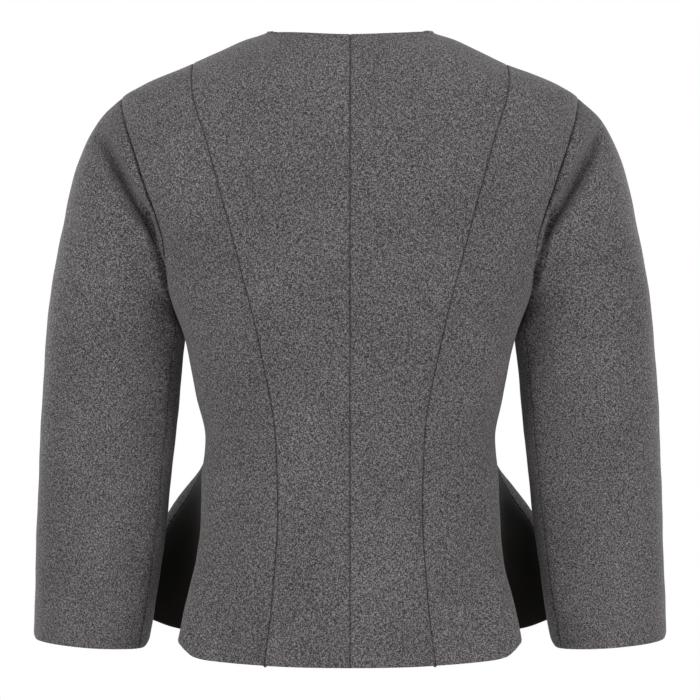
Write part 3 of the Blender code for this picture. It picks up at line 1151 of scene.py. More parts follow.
@dataclass
class ClothPiece:
    """One cut piece of cloth, kept in its worn form: a thin shell on a grid of points."""

    node: str
    side: Side
    cut: Cut
    rims: Rims
    centre: Spot
    creases: tuple[Crease, ...] = ()
    place: int = 0
    slot: Slot = Slot.WOOL
    solids: tuple[str, ...] = ()
    wall: float = 0.0016
    steady_rows: int = 5
    roll_power: float = 1.5
    unevenness: float = 0.00045
    quick_share: float = 0.45
    slow: tuple[Ripple, Ripple] = (Ripple(61, 0, 23, 1.1), Ripple(0, -38, 47, 0.4))
    quick: tuple[Ripple, Ripple] = (Ripple(128, 71, -84), Ripple(52, 0, 109, 2.0))
    place_step: Pair = (0.61, 0.43)
    allowance_taper: float = 0.016
    allowance_least: float = 0.15
    allowance_lines: Pair = (0.3, 1.0)
    covered_x: float = 0.140
    covered_z: Pair = (-0.240, -0.155)
    covered_fade: float = 0.014
    covered_share: float = 0.8

    def __post_init__(self) -> None:
        """Take the points of the cut."""
        self.points = self.cut.points

    def build(self, finish: Material) -> Piece:
        """Make the piece for its side.

        Args:
            finish: The cloth's finish.

        Returns:
            The piece, riding on the root and taking its CAD nodes' place.
        """
        width, height = length_in(self.points, 0), length_in(self.points, 1)
        gaps = {
            Border.LEFT: width,
            Border.RIGHT: width[-1:] - width,
            Border.BOTTOM: height,
            Border.TOP: height[:, -1:] - height,
        }
        normals = self._normals()
        pressed = sum((crease.press(self.points, normals, self.side) for crease in self.creases), 0.0)
        pressed = pressed + self._hand()
        # Painted shade along each sewn edge, from the same roll as its groove, weaker where the sleeve's
        # fold covers the armhole
        seam = np.zeros(width.shape)
        shown = 1 - self.covered_share * self._covered()
        for border, gap in gaps.items():
            rim = self.rims.at(border)
            roll = np.exp(-((gap / rim.reach) ** self.roll_power)) * shown
            pressed = pressed + rim.depth * roll
            if rim is not Rim.FOLDED:
                seam = np.maximum(seam, roll)
        shaped = self.points - normals * pressed[..., None]
        grid = np.concatenate((shaped, normals, self._grain(), seam[..., None]), axis=-1)
        for border in gaps:
            grid = self._turned_in(grid, border)
        piece = self._mesh(grid, finish)
        self._declare(piece, float(width[-1].max()), float(height[:, -1].max()))
        return piece

    def _normals(self) -> np.ndarray:
        """Normals of the left piece, held steady at the top, where the grid closes up.

        Returns:
            Outward unit normals, by column and row.
        """
        normal = np.cross(np.gradient(self.points, axis=0), np.gradient(self.points, axis=1))
        size = np.linalg.norm(normal, axis=-1, keepdims=True)
        normal = normal / np.maximum(size, NO_LENGTH)
        normal[:, -self.steady_rows :] = normal[:, [-self.steady_rows - 1]]
        outside = np.sum(normal * (self.points - np.array(self.centre)))
        return normal if outside > 0 else -normal

    def _grain(self) -> np.ndarray:
        """Place of each point on the uncut cloth, where every piece has a stretch of its own."""
        across, up = (step * self.place for step in self.place_step)
        return np.stack((self.cut.across + across, self.cut.up + up), axis=-1)

    def _hand(self) -> np.ndarray:
        """Slight unevenness of worn cloth, different on each side.

        Returns:
            Depths, by column and row.
        """
        worn = self.points * self.side.mirror
        slow, quick = (first.at(worn) * second.at(worn) for first, second in (self.slow, self.quick))
        return self.unevenness * (slow + self.quick_share * quick)

    def _covered(self) -> np.ndarray:
        """Where the sleeve's drag fold hides the armhole seam.

        Returns:
            Shares from 0 to 1, by column and row.
        """
        low, high = self.covered_z
        z = self.points[..., 2]
        inside = np.clip(np.minimum(z - low, high - z) / self.covered_fade, 0, 1)
        return inside * (self.points[..., 0] > self.covered_x)

    def _turned_in(self, grid: np.ndarray, border: Border) -> np.ndarray:
        """Turn one edge in behind the cloth, as its seam or hem allowance.

        Args:
            grid: Points, normals, flat place and painted seam shade, by column and row.
            border: The edge.

        Returns:
            The grid with the allowance added.
        """
        axis, first = border.axis, border.first
        rim = grid.take([0 if first else -1], axis)
        run = length_in(rim[..., PLACE], 1 - axis)[..., None]
        from_end = np.minimum(run, run.max() - run) / self.allowance_taper
        depth = self.rims.at(border).allowance * np.clip(from_end, self.allowance_least, 1.0)
        lines = []
        for share in self.allowance_lines:
            line = rim.copy()
            line[..., PLACE] -= rim[..., NORMAL] * depth * share
            line[..., GRAIN.start + axis] += depth[..., 0] * share * (-1 if first else 1)
            lines.append(line)
        return np.concatenate((*lines[::-1], grid) if first else (grid, *lines), axis=axis)

    def _mesh(self, grid: np.ndarray, finish: Material) -> Piece:
        """The shell through the grid's points, with its grain as a UV map and its painted seam shade as an
        attribute.

        Args:
            grid: Points, normals, flat place and seam shade, by column and row.
            finish: The cloth's finish.

        Returns:
            The piece.
        """
        name = "cloth_" + self.node
        points = (grid[..., PLACE] * self.side.mirror).reshape(-1, 3)
        mesh = bpy.data.meshes.new(name)
        mesh.from_pydata(points.tolist(), [], self._quads(points, grid.shape[:2]).tolist())
        corners = np.zeros(len(mesh.loops), dtype=np.int32)
        mesh.loops.foreach_get("vertex_index", corners)
        grain = grid[..., GRAIN].reshape(-1, 2)[corners]
        layer = mesh.uv_layers.new(name="grain")
        layer.data.foreach_set("uv", grain.astype(np.float32).ravel())
        # The painted seam shade goes on as a point attribute for the material
        shade = mesh.attributes.new("seam", "FLOAT", "POINT")
        shade.data.foreach_set("value", grid[..., SEAM].astype(np.float32).ravel())
        mesh.shade_smooth()
        mesh.materials.append(finish)
        piece = bpy.data.objects.new(name, mesh)
        bpy.context.scene.collection.objects.link(piece)
        wall = piece.modifiers.new("wall", "SOLIDIFY")
        wall.thickness = self.wall
        wall.offset = -1
        wall.use_even_offset = False
        return piece

    def _quads(self, points: np.ndarray, shape: tuple[int, int]) -> np.ndarray:
        """Faces of the grid, pointing out of the jacket.

        Args:
            points: Its points, one a row.
            shape: Number of columns and rows.

        Returns:
            Four point numbers for each face.
        """
        index = np.arange(len(points)).reshape(shape)
        quads = np.stack((index[:-1, :-1], index[1:, :-1], index[1:, 1:], index[:-1, 1:]), axis=-1)
        quads = quads.reshape(-1, 4)
        corner = points[quads]
        normal = np.cross(corner[:, 2] - corner[:, 0], corner[:, 3] - corner[:, 1])
        outward = corner.mean(axis=1) - np.array(self.centre) * self.side.mirror
        return quads if np.sum(normal * outward) >= 0 else quads[:, ::-1]

    def _declare(self, piece: Piece, width: float, length: float) -> None:
        """Hang the piece on the root, hide the CAD nodes that it stands for, and log how it was cut.

        Args:
            piece: The piece.
            width: Width of its widest row.
            length: Length of its longest column.
        """
        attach(piece, ROOT)
        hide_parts(*(self.solids or (self.node,)))
        across, along = np.diff(self.points, axis=0), np.diff(self.points, axis=1)
        cells = np.linalg.norm(np.cross(across[:, :-1], along[:-1]), axis=-1)
        area = min(float(cells.sum()), width * length)
        size = (width * MILLIMETRES, length * MILLIMETRES, area)
        log.info("%s: cut %.0f x %.0f mm, %.4f m2", piece.name, *size)


@dataclass
class Torso:
    """Back and fronts: centre backs, side backs, side fronts, hip insets and the two lapped fronts."""

    form: BodyForm
    lap: float = 0.020
    lap_step_ends: float = 0.024
    lap_step_in: float = 0.0026
    lap_columns: int = 22
    lap_columns_end: float = 0.0045
    lap_edge_steps: tuple[float, ...] = (0.0028, 0.0016, 0.0008, 0.0)
    armhole_share: float = 0.66
    inset_share: float = 0.5
    back_neck_share: float = 0.5
    front_shoulder_share: float = 0.6
    panel_rows: int = 150
    side_rows: int = 56
    side_first_row: float = 0.002
    centre_back_columns: int = 34
    side_back_columns: int = 44
    side_front_columns: int = 40
    front_columns: int = 47
    first_step: float = 0.005
    neck_ease: float = 0.0032
    neck_ease_y: float = 0.026
    neck_ease_reach: Pair = (0.014, 0.030)
    shoulder_turns: float = 0.12
    shoulder_depth: float = 0.105
    shoulder_share: float = 0.4
    centre: Spot = (0.0, 0.0, -0.30)
    creases: tuple[Crease, ...] = (
        Crease(Half.BACK, (0.124, -0.352), (0.078, -0.344), 0.0012, 0.006, 0.8),
        Crease(Half.BACK, (0.127, -0.374), (0.084, -0.394), 0.0013, 0.007, 1.1),
        Crease(Half.BACK, (0.060, -0.362), (0.022, -0.356), 0.0006, 0.007, 0.7),
        Crease(Half.BACK, (0.176, -0.160), (0.128, -0.226), 0.0016, 0.012, 0.9),
        Crease(Half.BACK, (0.104, -0.410), (0.112, -0.530), 0.0022, 0.016, 1.0),
        Crease(Half.FRONT, (0.118, -0.352), (0.060, -0.338), 0.0014, 0.007, 0.9),
        Crease(Half.FRONT, (0.112, -0.378), (0.050, -0.398), 0.0015, 0.008, 1.1),
        Crease(Half.FRONT, (0.176, -0.130), (0.120, -0.186), 0.0018, 0.012, 0.8),
        Crease(Half.FRONT, (0.070, -0.420), (0.078, -0.520), 0.0018, 0.015, 0.9),
    )

    def build(self, wool: Material, lining: Material) -> list[Piece]:
        """Cut and place every torso piece.

        Args:
            wool: The cloth's finish.
            lining: Finish of the black hip insets, painted shade for the deep shadow in the hip recess.

        Returns:
            The pieces.
        """
        made = []
        above_inset = Rims(bottom=Rim.SEAM, top=Rim.ARMHOLE)
        for side in Side:
            cuts = (
                ("back_centre", self.centre_back(), Rims()),
                ("back_side", self.side_back(), Rims()),
                ("front_side", self.side_front(self.inset_share, 1.0), above_inset),
                ("hip_inset", self.side_front(0.0, self.inset_share), Rims()),
                ("front", self.front(side is Side.LEFT), Rims(right=Rim.FOLDED)),
            )
            for name, cut, rims in cuts:
                # The hip insets take the near-black finish, painted shade for the deep shadow in the hip
                # recess
                slot, finish = (Slot.LINING, lining) if name == "hip_inset" else (Slot.WOOL, wool)
                node = f"{name}_{side.value}"
                piece = ClothPiece(node, side, cut, rims, self.centre, self.creases, len(made), slot)
                made.append(piece.build(finish))
        return made

    def _laid(self, half: Half, flat: np.ndarray) -> Cut:
        """A flat pattern piece laid on the body, and eased down at the neck point.

        Args:
            half: Back or front.
            flat: Flat points, by column and row.

        Returns:
            The cut.
        """
        points = self.form.point(half, flat[..., 0].ravel(), flat[..., 1].ravel())
        away = points[:, :2] - np.array((self.form.neck_half_width, self.neck_ease_y))
        nearness = np.exp(-np.sum((away / np.array(self.neck_ease_reach)) ** 2, axis=-1))
        points[:, 2] -= self.neck_ease * nearness
        return self._grained(points.reshape(*flat.shape[:2], 3), flat[..., 0])

    def _grained(self, points: np.ndarray, across: np.ndarray) -> Cut:
        """A cut whose grain runs straight up the panel and on over the shoulder.

        Args:
            points: Its points, by column and row.
            across: Where each lies across the grain.

        Returns:
            The cut.
        """
        _, y, z = np.moveaxis(points, -1, 0)
        over = np.clip((z + self.shoulder_turns) / self.shoulder_turns, 0, 1) ** 2
        return Cut(points, across, z + (self.shoulder_depth - np.abs(y)) * over * self.shoulder_share)

    def _rows(self) -> np.ndarray:
        """Rows of the panels that reach the shoulder, closed up where the cloth turns over it.

        Returns:
            Shares of the way up, with the underarm's kept exactly.
        """
        even = 1 - (1 - np.linspace(0, 1, self.panel_rows)) ** 2
        return np.unique(np.concatenate((even, HEM_STEPS, (self.armhole_share,))))

    def centre_back(self) -> Cut:
        """Centre back panel, with the neckline and inner shoulder at its top.

        Returns:
            The cut.
        """
        form = self.form
        middle = np.zeros_like
        start = form.hem_edge(Half.BACK, middle)
        end = form.hem_edge(Half.BACK, form.princess_along)
        shoulder_z = form.shoulder_panel_seam_z
        columns = steps_to_edges(self.centre_back_columns, self.first_step)
        flat = cut_piece(
            seam_between(middle, start[1], -form.back_neck_drop),
            seam_between(form.princess_along, end[1], shoulder_z),
            form.hem_between(Half.BACK, start, end),
            chain(
                (self.back_neck_share, form.back_neck_edge),
                (1.0, lambda share: form.shoulder_edge(Half.BACK, shoulder_z * share)),
            ),
            np.unique(np.append(columns, self.back_neck_share)),
            self._rows(),
        )
        return self._laid(Half.BACK, flat)

    def side_back(self) -> Cut:
        """Side back panel, with the side seam and the back of the armhole along its outer edge.

        Returns:
            The cut.
        """
        form = self.form
        side_along = partial(form.girth, Half.BACK)
        start = form.hem_edge(Half.BACK, form.princess_along)
        end = form.hem_edge(Half.BACK, side_along)
        top_z, end_z = form.shoulder_panel_seam_z, form.shoulder_end_z
        flat = cut_piece(
            seam_between(form.princess_along, start[1], top_z),
            chain(
                (self.armhole_share, seam_between(side_along, end[1], form.underarm_z)),
                (1.0, lambda share: form.armhole_edge(np.maximum(np.pi * (1 - share), TINY))),
            ),
            form.hem_between(Half.BACK, start, end),
            lambda share: form.shoulder_edge(Half.BACK, between(top_z, end_z, share)),
            steps_to_edges(self.side_back_columns, self.first_step),
            self._rows(),
        )
        return self._laid(Half.BACK, flat)

    def side_front(self, low: float, high: float) -> Cut:
        """A stretch of the side front, from the side seam round to the hip ridge.

        Args:
            low: Share of its height at which it starts; 0 is the hem.
            high: Share at which it ends; 1 is the armhole.

        Returns:
            The cut.
        """
        form = self.form
        side_along = partial(form.girth, Half.FRONT)
        start = form.hem_edge(Half.FRONT, side_along)
        end = form.hem_edge(Half.FRONT, form.panel_seam_along)
        flat = cut_piece(
            seam_between(side_along, start[1], form.underarm_z),
            seam_between(form.panel_seam_along, end[1], form.notch[1]),
            form.hem_between(Half.FRONT, start, end),
            lambda share: form.armhole_edge(between(-np.pi, form.front_notch, share)),
            steps_to_edges(self.side_front_columns, self.first_step),
            between(low, high, steps_to_edges(self.side_rows, self.side_first_row)),
        )
        return self._laid(Half.FRONT, flat)

    def front(self, lap_under: bool) -> Cut:
        """Front with its lap past the centre line.

        Args:
            lap_under: Whether the lap steps in beneath the other front.

        Returns:
            The cut.
        """
        form = self.form
        lap_line = partial(np.full_like, fill_value=form.lap_step_starts)
        start = form.hem_edge(Half.FRONT, form.panel_seam_along)
        end = form.hem_edge(Half.FRONT, lap_line)
        top = chain(
            (
                self.front_shoulder_share,
                lambda share: form.shoulder_edge(Half.FRONT, form.shoulder_end_z * (1 - share)),
            ),
            (1.0, form.front_neck_edge),
        )
        rows = self._rows()
        # The lap goes on at the right, so the columns don't close up there
        columns = steps_to_edges(self.front_columns, self.first_step)[: 1 - len(EDGE_STEPS)]
        flat = cut_piece(
            chain(
                (self.armhole_share, seam_between(form.panel_seam_along, start[1], form.notch[1])),
                (1.0, lambda share: form.armhole_edge(np.minimum(form.front_notch * (1 - share), -TINY))),
            ),
            seam_between(lap_line, end[1], top(np.ones(1))[0, 1]),
            form.hem_between(Half.FRONT, start, end),
            top,
            np.unique(np.append(columns, (self.front_shoulder_share, 1.0))),
            rows,
        )
        panel = self._laid(Half.FRONT, flat)
        even = np.linspace(form.lap_step_starts, self.lap_columns_end - self.lap, self.lap_columns)
        alongs = np.concatenate((even[1:], np.array(self.lap_edge_steps) - self.lap))
        lap = np.stack([self._lap_column(along, end[1], rows, lap_under) for along in alongs])
        across = np.repeat(alongs[:, None], len(rows), axis=1)
        return self._grained(np.concatenate((panel.points, lap)), np.concatenate((panel.across, across)))

    def _lap_column(self, along: float, hem_z: float, rows: np.ndarray, lap_under: bool) -> np.ndarray:
        """One upright line of the lap.

        Args:
            along: Length along the cloth from the centre line.
            hem_z: Height of the hem where the lap starts.
            rows: Shares of the way up.
            lap_under: Whether it steps in beneath the other front.

        Returns:
            Its points.
        """
        form = self.form
        share = abs(along) / form.girth(Half.FRONT, np.array([hem_z]))
        bottom = form.hem_z["front_z"](share)[0]
        z = between(bottom, form.front_neck_z(np.array(abs(along))), rows)
        alongs = np.full_like(z, along)
        points = form.point(Half.FRONT, alongs, z)
        if lap_under:
            start = form.lap_step_starts
            stepped = eased(np.clip((start - along) / (start - self.lap_step_ends), 0, 1))
            points = points - form.outward(Half.FRONT, alongs, z) * self.lap_step_in * stepped
        return points


@dataclass
class Sleeve:
    """A two-piece sleeve set into the armhole: upper and under sleeve, with drag folds."""

    form: BodyForm
    elbow_seam: float = math.radians(149)
    forearm_seam: float = math.radians(-118)
    armhole_blend: float = 0.22
    fold_clear: float = 0.06
    head_fold_start: Pair = (0.2190, -0.0860)
    head_fold_end: Pair = (0.1720, -0.1690)
    head_fold_depth: float = 0.0190
    head_fold_body_width: float = 0.0040
    head_fold_sleeve_width: float = 0.0115
    head_fold_narrows: float = 0.40
    head_fold_before: float = 0.06
    head_fold_starts: float = 0.34
    head_fold_after: float = 0.2
    upper_lengths: tuple[str, ...] = ("head", "arm", "elbow", "cuff")
    cuff_lift: float = 0.004
    cuff_lift_starts: float = 0.955
    cuff_corner: int = 36
    upper_columns: int = 170
    upper_first_step: float = 0.0014
    under_columns: int = 44
    under_first_step: float = 0.006
    seam_rows: tuple[float, ...] = (0.0, 0.0007, 0.0018, 0.0035, 0.007, 0.012)
    head_rows: tuple[float, float, int] = (0.018, 0.42, 64)
    arm_rows: tuple[float, float, int] = (0.426, 0.99, 84)
    cuff_rows: tuple[float, ...] = (0.9935, 0.9965, 0.9985, 1.0)
    first_place: int = 20
    grain_x: Pair = (0.180, 0.229)
    grain_y: float = -0.008
    grain_radius: float = 0.054
    centre: Spot = (0.205, -0.010, -0.26)
    rings: tuple[Ring, ...] = (
        Ring(0.00, 0.2000, -0.0580, 0.1562, -0.2350, 0.0510, 0.008),
        Ring(0.08, 0.2215, -0.0800, 0.1566, -0.2400, 0.0545, 0.003),
        Ring(0.18, 0.2400, -0.1180, 0.1546, -0.2460, 0.0570, -0.003),
        Ring(0.30, 0.2537, -0.1730, 0.1512, -0.2550, 0.0580, -0.008),
        Ring(0.42, 0.2638, -0.2280, 0.1466, -0.2680, 0.0575, -0.011),
        Ring(0.54, 0.2700, -0.2850, 0.1487, -0.2950, 0.0560, -0.013),
        Ring(0.68, 0.2745, -0.3600, 0.1550, -0.3620, 0.0530, -0.014),
        Ring(0.84, 0.2776, -0.4480, 0.1650, -0.4520, 0.0490, -0.014),
        Ring(1.00, 0.2800, -0.5350, 0.1785, -0.5430, 0.0450, -0.014),
    )
    creases: tuple[Crease, ...] = (
        Crease(Half.BACK, (0.176, -0.160), (0.156, -0.226), 0.0085, 0.0029, 0.9),
        Crease(Half.BACK, (0.175, -0.180), (0.150, -0.275), -0.0044, 0.0075, 0.9),
        Crease(Half.BACK, (0.1515, -0.262), (0.1825, -0.528), -0.0038, 0.0080, 0.9),
        Crease(Half.BACK, (0.168, -0.386), (0.222, -0.398), 0.0022, 0.010, 0.8),
        Crease(Half.BACK, (0.162, -0.332), (0.204, -0.312), 0.0020, 0.010, 1.2),
        Crease(Half.BACK, (0.262, -0.484), (0.214, -0.424), 0.0022, 0.012, 0.9),
        Crease(Half.BACK, (0.256, -0.514), (0.204, -0.456), -0.0026, 0.011, 1.1),
        Crease(Half.BACK, (0.240, -0.528), (0.190, -0.492), 0.0018, 0.010, 0.8),
        Crease(Half.BACK, (0.250, -0.160), (0.214, -0.232), 0.0018, 0.013, 1.0),
        Crease(Half.FRONT, (0.160, -0.352), (0.236, -0.376), 0.0030, 0.010, 1.1),
        Crease(Half.FRONT, (0.166, -0.396), (0.226, -0.424), 0.0030, 0.011, 0.8),
        Crease(Half.FRONT, (0.160, -0.300), (0.214, -0.312), 0.0022, 0.010, 1.0),
        Crease(Half.FRONT, (0.232, -0.118), (0.184, -0.176), 0.0050, 0.011, 0.9),
        Crease(Half.FRONT, (0.252, -0.470), (0.200, -0.506), 0.0024, 0.012, 1.0),
    )

    def __post_init__(self) -> None:
        """Draw the curves through the rings."""
        self.ring = column_curves(self.rings, "along")

    def build(self, wool: Material) -> list[Piece]:
        """Cut and place both sleeves.

        Args:
            wool: The cloth's finish.

        Returns:
            The pieces.
        """
        upper_columns = steps_to_edges(self.upper_columns, self.upper_first_step)
        under_columns = steps_to_edges(self.under_columns, self.under_first_step)
        upper = self._cut(between(self.forearm_seam, self.elbow_seam, upper_columns))
        under = self._cut(between(self.elbow_seam, self.forearm_seam + 2 * np.pi, under_columns))
        rims = Rims(bottom=Rim.ARMHOLE, top=Rim.FOLDED)
        made = []
        for side in Side:
            lengths = tuple(f"sleeve_upper_{length}_{side.value}" for length in self.upper_lengths)
            for name, cut, solids in (("sleeve_upper", upper, lengths), ("sleeve_under", under, ())):
                node = f"{name}_{side.value}"
                place = self.first_place + len(made)
                piece = ClothPiece(node, side, cut, rims, self.centre, self.creases, place, solids=solids)
                made.append(piece.build(wool))
        return made

    def _rows(self) -> np.ndarray:
        """Rows from the armhole seam to the cuff, close at both and closer over the head than below."""
        evens = (np.linspace(*self.head_rows), np.linspace(*self.arm_rows))
        return np.concatenate((self.seam_rows, *evens, self.cuff_rows))

    def _cut(self, turns: np.ndarray) -> Cut:
        """A stretch of the sleeve, with its grain hanging straight down all round it.

        Args:
            turns: Turns round the sleeve.

        Returns:
            The cut.
        """
        points = self.points(turns, self._rows())
        _, taken_up = self._head_fold(points, np.arctan2(np.sin(turns), np.cos(turns)))
        x, y, z = np.moveaxis(points, -1, 0)
        top_z, cuff_z = self.rings[0].out_z, self.rings[-1].out_z
        share = np.clip((z - top_z) / (cuff_z - top_z), 0, 1)
        turned = np.unwrap(np.arctan2(y - self.grain_y, x - between(*self.grain_x, share)), axis=0)
        return Cut(points, turned * self.grain_radius + taken_up, z)

    def _tube(self, turns: np.ndarray, rows: np.ndarray) -> np.ndarray:
        """Points of the plain tube.

        Args:
            turns: Turns round it from its outer edge, positive to the back.
            rows: Shares along it.

        Returns:
            The points, by turn and row.
        """
        ring = {name: curve(rows)[None, :] for name, curve in self.ring.items()}
        cos, sin = np.cos(turns)[:, None], np.sin(turns)[:, None]
        x = (ring["out_x"] + ring["in_x"]) / 2 + (ring["out_x"] - ring["in_x"]) / 2 * cos
        z = (ring["out_z"] + ring["in_z"]) / 2 + (ring["out_z"] - ring["in_z"]) / 2 * cos
        return np.stack((x, ring["centre_y"] + ring["half_depth"] * sin, z), axis=-1)

    def points(self, turns: np.ndarray, rows: np.ndarray) -> np.ndarray:
        """Points of the sleeve, from the armhole seam into the tube and down to the cuff.

        Args:
            turns: Turns round the sleeve.
            rows: Shares along it.

        Returns:
            The points, by turn and row.
        """
        points = self._tube(turns, rows)
        seam = np.arctan2(np.sin(turns), np.cos(turns))
        start = self.form.armhole_point(np.where(seam == 0, TINY, seam))
        left_over = np.maximum(0.0, 1 - rows / self.armhole_blend) ** 2
        offset = start - self._tube(turns, np.zeros(1))[:, 0]
        points = points + offset[:, None] * left_over[None, :, None]
        clear = np.minimum(1.0, rows / self.fold_clear)[None, :]
        points[..., 1] -= self._head_fold(points, seam)[0] * clear
        near = np.clip((rows - self.cuff_lift_starts) / (1 - self.cuff_lift_starts), 0, 1) ** 2
        points[..., 2] += self.cuff_lift * np.cos(turns)[:, None] ** self.cuff_corner * near
        return points

    def _head_fold(self, points: np.ndarray, seam: np.ndarray) -> tuple[np.ndarray, np.ndarray]:
        """The drag fold below the sleeve head, at the back.

        Args:
            points: Points of the sleeve, by turn and row.
            seam: Turns round the sleeve.

        Returns:
            Depth of the fold at each point, and the width of cloth that it has taken up on the way there.
        """
        along, aside = beside_line(points, self.head_fold_start, self.head_fold_end)
        width = np.where(aside > 0, self.head_fold_body_width, self.head_fold_sleeve_width)
        width = width * (1 - self.head_fold_narrows * np.clip(along, 0, 1))
        begun = eased(np.clip((along + self.head_fold_before) / self.head_fold_starts, 0, 1))
        after = np.maximum(0.0, along - 1) / self.head_fold_after
        floor = self.head_fold_depth * begun * np.exp(-(after**2))
        floor = floor * np.sqrt(np.maximum(0.0, np.sin(seam)))[:, None]
        depth = floor * np.exp(-((aside / width) ** 2))
        return depth, np.where(aside > 0, 2 * floor - depth, depth)


def deselect() -> None:
    """Leave nothing selected, so that the next tool takes only its own piece."""
    bpy.ops.object.select_all(action="DESELECT")


def settle_place() -> None:
    """Move the active piece's place into its mesh."""
    bpy.ops.object.transform_apply(location=True, rotation=True, scale=True)


def dress(piece: Piece, finish: Material) -> Piece:
    """Give a piece one finish.

    Args:
        piece: The piece.
        finish: Its finish.

    Returns:
        The piece.
    """
    piece.data.materials.clear()
    piece.data.materials.append(finish)
    return piece


@dataclass
class Closure:
    """Four horn buttons with their thread shanks, and the worked buttonholes beneath them."""

    form: BodyForm
    radius: float = 0.010
    thickness: float = 0.0036
    rim: float = 0.0020
    rim_slope: float = 0.35
    dish: float = 0.0008
    disc_sides: int = 72
    upward: float = 0.9
    edge_round: float = 0.00035
    edge_segments: int = 3
    edge_angle: float = math.radians(38)
    disc_smooth: float = math.radians(40)
    holes: int = 4
    hole_radius: float = 0.0010
    hole_spread: float = 0.0019
    hole_sides: int = 20
    drill_length: float = 3.0
    shank: float = 0.0026
    shank_sunk: float = 0.0012
    shank_sides: int = 24
    thread_smooth: float = math.radians(50)
    top_z: float = -0.122
    pitch: float = 0.078
    count: int = 4
    strand: float = 0.00042
    strand_gap: float = 0.9
    strand_sunk: float = 0.35
    strand_steps: int = 28
    cord_sides: int = 8
    bar: float = 0.0007
    bar_ring: float = 1.25
    bar_steps: int = 32
    bar_flat: float = 0.6
    bar_lift: float = 0.1
    buttonhole_starts: float = 0.004
    buttonhole_length: float = 0.0235
    buttonhole_cuts: int = 24

    def build(self, horn: Material, thread: Material) -> list[Piece]:
        """Make the buttons, their threads and the buttonholes.

        Args:
            horn: Finish of the buttons.
            thread: Finish of the threads.

        Returns:
            Every piece of the closure.
        """
        disc, sewn, hole = self._disc(horn), self._thread(thread), self._buttonhole(thread)
        made = []
        for place in range(self.count):
            z = np.array([self.top_z - self.pitch * place])
            along = np.zeros(1)
            normal = Vector(self.form.outward(Half.FRONT, along, z)[0])
            foot = Vector(self.form.point(Half.FRONT, along, z)[0])
            turn = normal.to_track_quat("Z", "Y").to_matrix().to_4x4()
            button = self._copy(disc, f"horn_button_{place + 1}")
            button.data.transform(Matrix.Translation(foot + normal * self.shank) @ turn)
            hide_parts(f"button_{place + 1}")
            strands = self._copy(sewn, f"button_thread_{place + 1}")
            strands.data.transform(Matrix.Translation(foot) @ turn)
            worked = self._copy(hole, f"buttonhole_{place + 1}")
            self._lay(worked, z[0])
            for piece in (button, strands, worked):
                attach(piece, ROOT)
                made.append(piece)
        for pattern in (disc, sewn, hole):
            bpy.data.objects.remove(pattern)
        return made

    @staticmethod
    def _copy(pattern: Piece, name: str) -> Piece:
        """A copy with a mesh of its own.

        Args:
            pattern: The piece to copy.
            name: The copy's name.

        Returns:
            The copy.
        """
        piece = pattern.copy()
        piece.data = pattern.data.copy()
        piece.name = piece.data.name = name
        bpy.context.scene.collection.objects.link(piece)
        return piece

    def _disc(self, finish: Material) -> Piece:
        """A dished disc with a rim and thread holes, its underside at z 0.

        Args:
            finish: The horn.

        Returns:
            The disc.
        """
        deselect()
        middle = (0, 0, self.thickness / 2)
        bpy.ops.mesh.primitive_cylinder_add(
            vertices=self.disc_sides, radius=self.radius, depth=self.thickness, location=middle
        )
        disc = bpy.context.object
        settle_place()
        bpy.ops.object.mode_set(mode="EDIT")
        bpy.ops.mesh.select_all(action="DESELECT")
        shape = bmesh.from_edit_mesh(disc.data)
        for face in shape.faces:
            face.select_set(face.normal.z > self.upward)
        bmesh.update_edit_mesh(disc.data)
        bpy.ops.mesh.inset(thickness=self.rim)
        bpy.ops.mesh.inset(thickness=self.rim * self.rim_slope, depth=-self.dish)
        bpy.ops.object.mode_set(mode="OBJECT")
        for hole in range(self.holes):
            turn = (hole + 0.5) * 2 * math.pi / self.holes
            self._drill(disc, (math.cos(turn) * self.hole_spread, math.sin(turn) * self.hole_spread))
        edge = disc.modifiers.new("edge", "BEVEL")
        edge.width = self.edge_round
        edge.segments = self.edge_segments
        edge.angle_limit = self.edge_angle
        bpy.ops.object.modifier_apply(modifier=edge.name)
        bpy.ops.object.shade_smooth_by_angle(angle=self.disc_smooth)
        return dress(disc, finish)

    def _drill(self, disc: Piece, place: Pair) -> None:
        """Cut one thread hole through the disc.

        Args:
            disc: The disc.
            place: x and y of the hole.
        """
        deselect()
        bpy.ops.mesh.primitive_cylinder_add(
            vertices=self.hole_sides,
            radius=self.hole_radius,
            depth=self.thickness * self.drill_length,
            location=(*place, self.thickness / 2),
        )
        drill = bpy.context.object
        deselect()
        disc.select_set(True)
        bpy.context.view_layer.objects.active = disc
        cut = disc.modifiers.new("hole", "BOOLEAN")
        cut.operation = "DIFFERENCE"
        cut.object = drill
        cut.solver = "EXACT"
        bpy.ops.object.modifier_apply(modifier=cut.name)
        bpy.data.objects.remove(drill)

    def _thread(self, finish: Material) -> Piece:
        """Strands from hole to hole across the disc, and the wound shank below it.

        Args:
            finish: The thread.

        Returns:
            The sewn thread, as one piece.
        """
        strands = []
        top = self.shank + self.thickness - self.dish
        reach = self.hole_spread * math.cos(math.pi / 4)
        apart = self.strand * self.strand_gap
        for y in (-reach - apart, -reach + apart, reach - apart, reach + apart):
            deselect()
            bpy.ops.mesh.primitive_torus_add(
                major_radius=reach,
                minor_radius=self.strand,
                major_segments=self.strand_steps,
                minor_segments=self.cord_sides,
                location=(0, y, top - reach * self.strand_sunk),
                rotation=(math.pi / 2, 0, 0),
            )
            strands.append(bpy.context.object)
        deselect()
        bpy.ops.mesh.primitive_cylinder_add(
            vertices=self.shank_sides,
            radius=self.hole_spread,
            depth=self.shank + self.shank_sunk,
            location=(0, 0, self.shank / 2),
        )
        strands.append(bpy.context.object)
        deselect()
        for strand in strands:
            strand.select_set(True)
        bpy.context.view_layer.objects.active = strands[0]
        bpy.ops.object.join()
        settle_place()
        bpy.ops.object.shade_smooth_by_angle(angle=self.thread_smooth)
        return dress(bpy.context.object, finish)

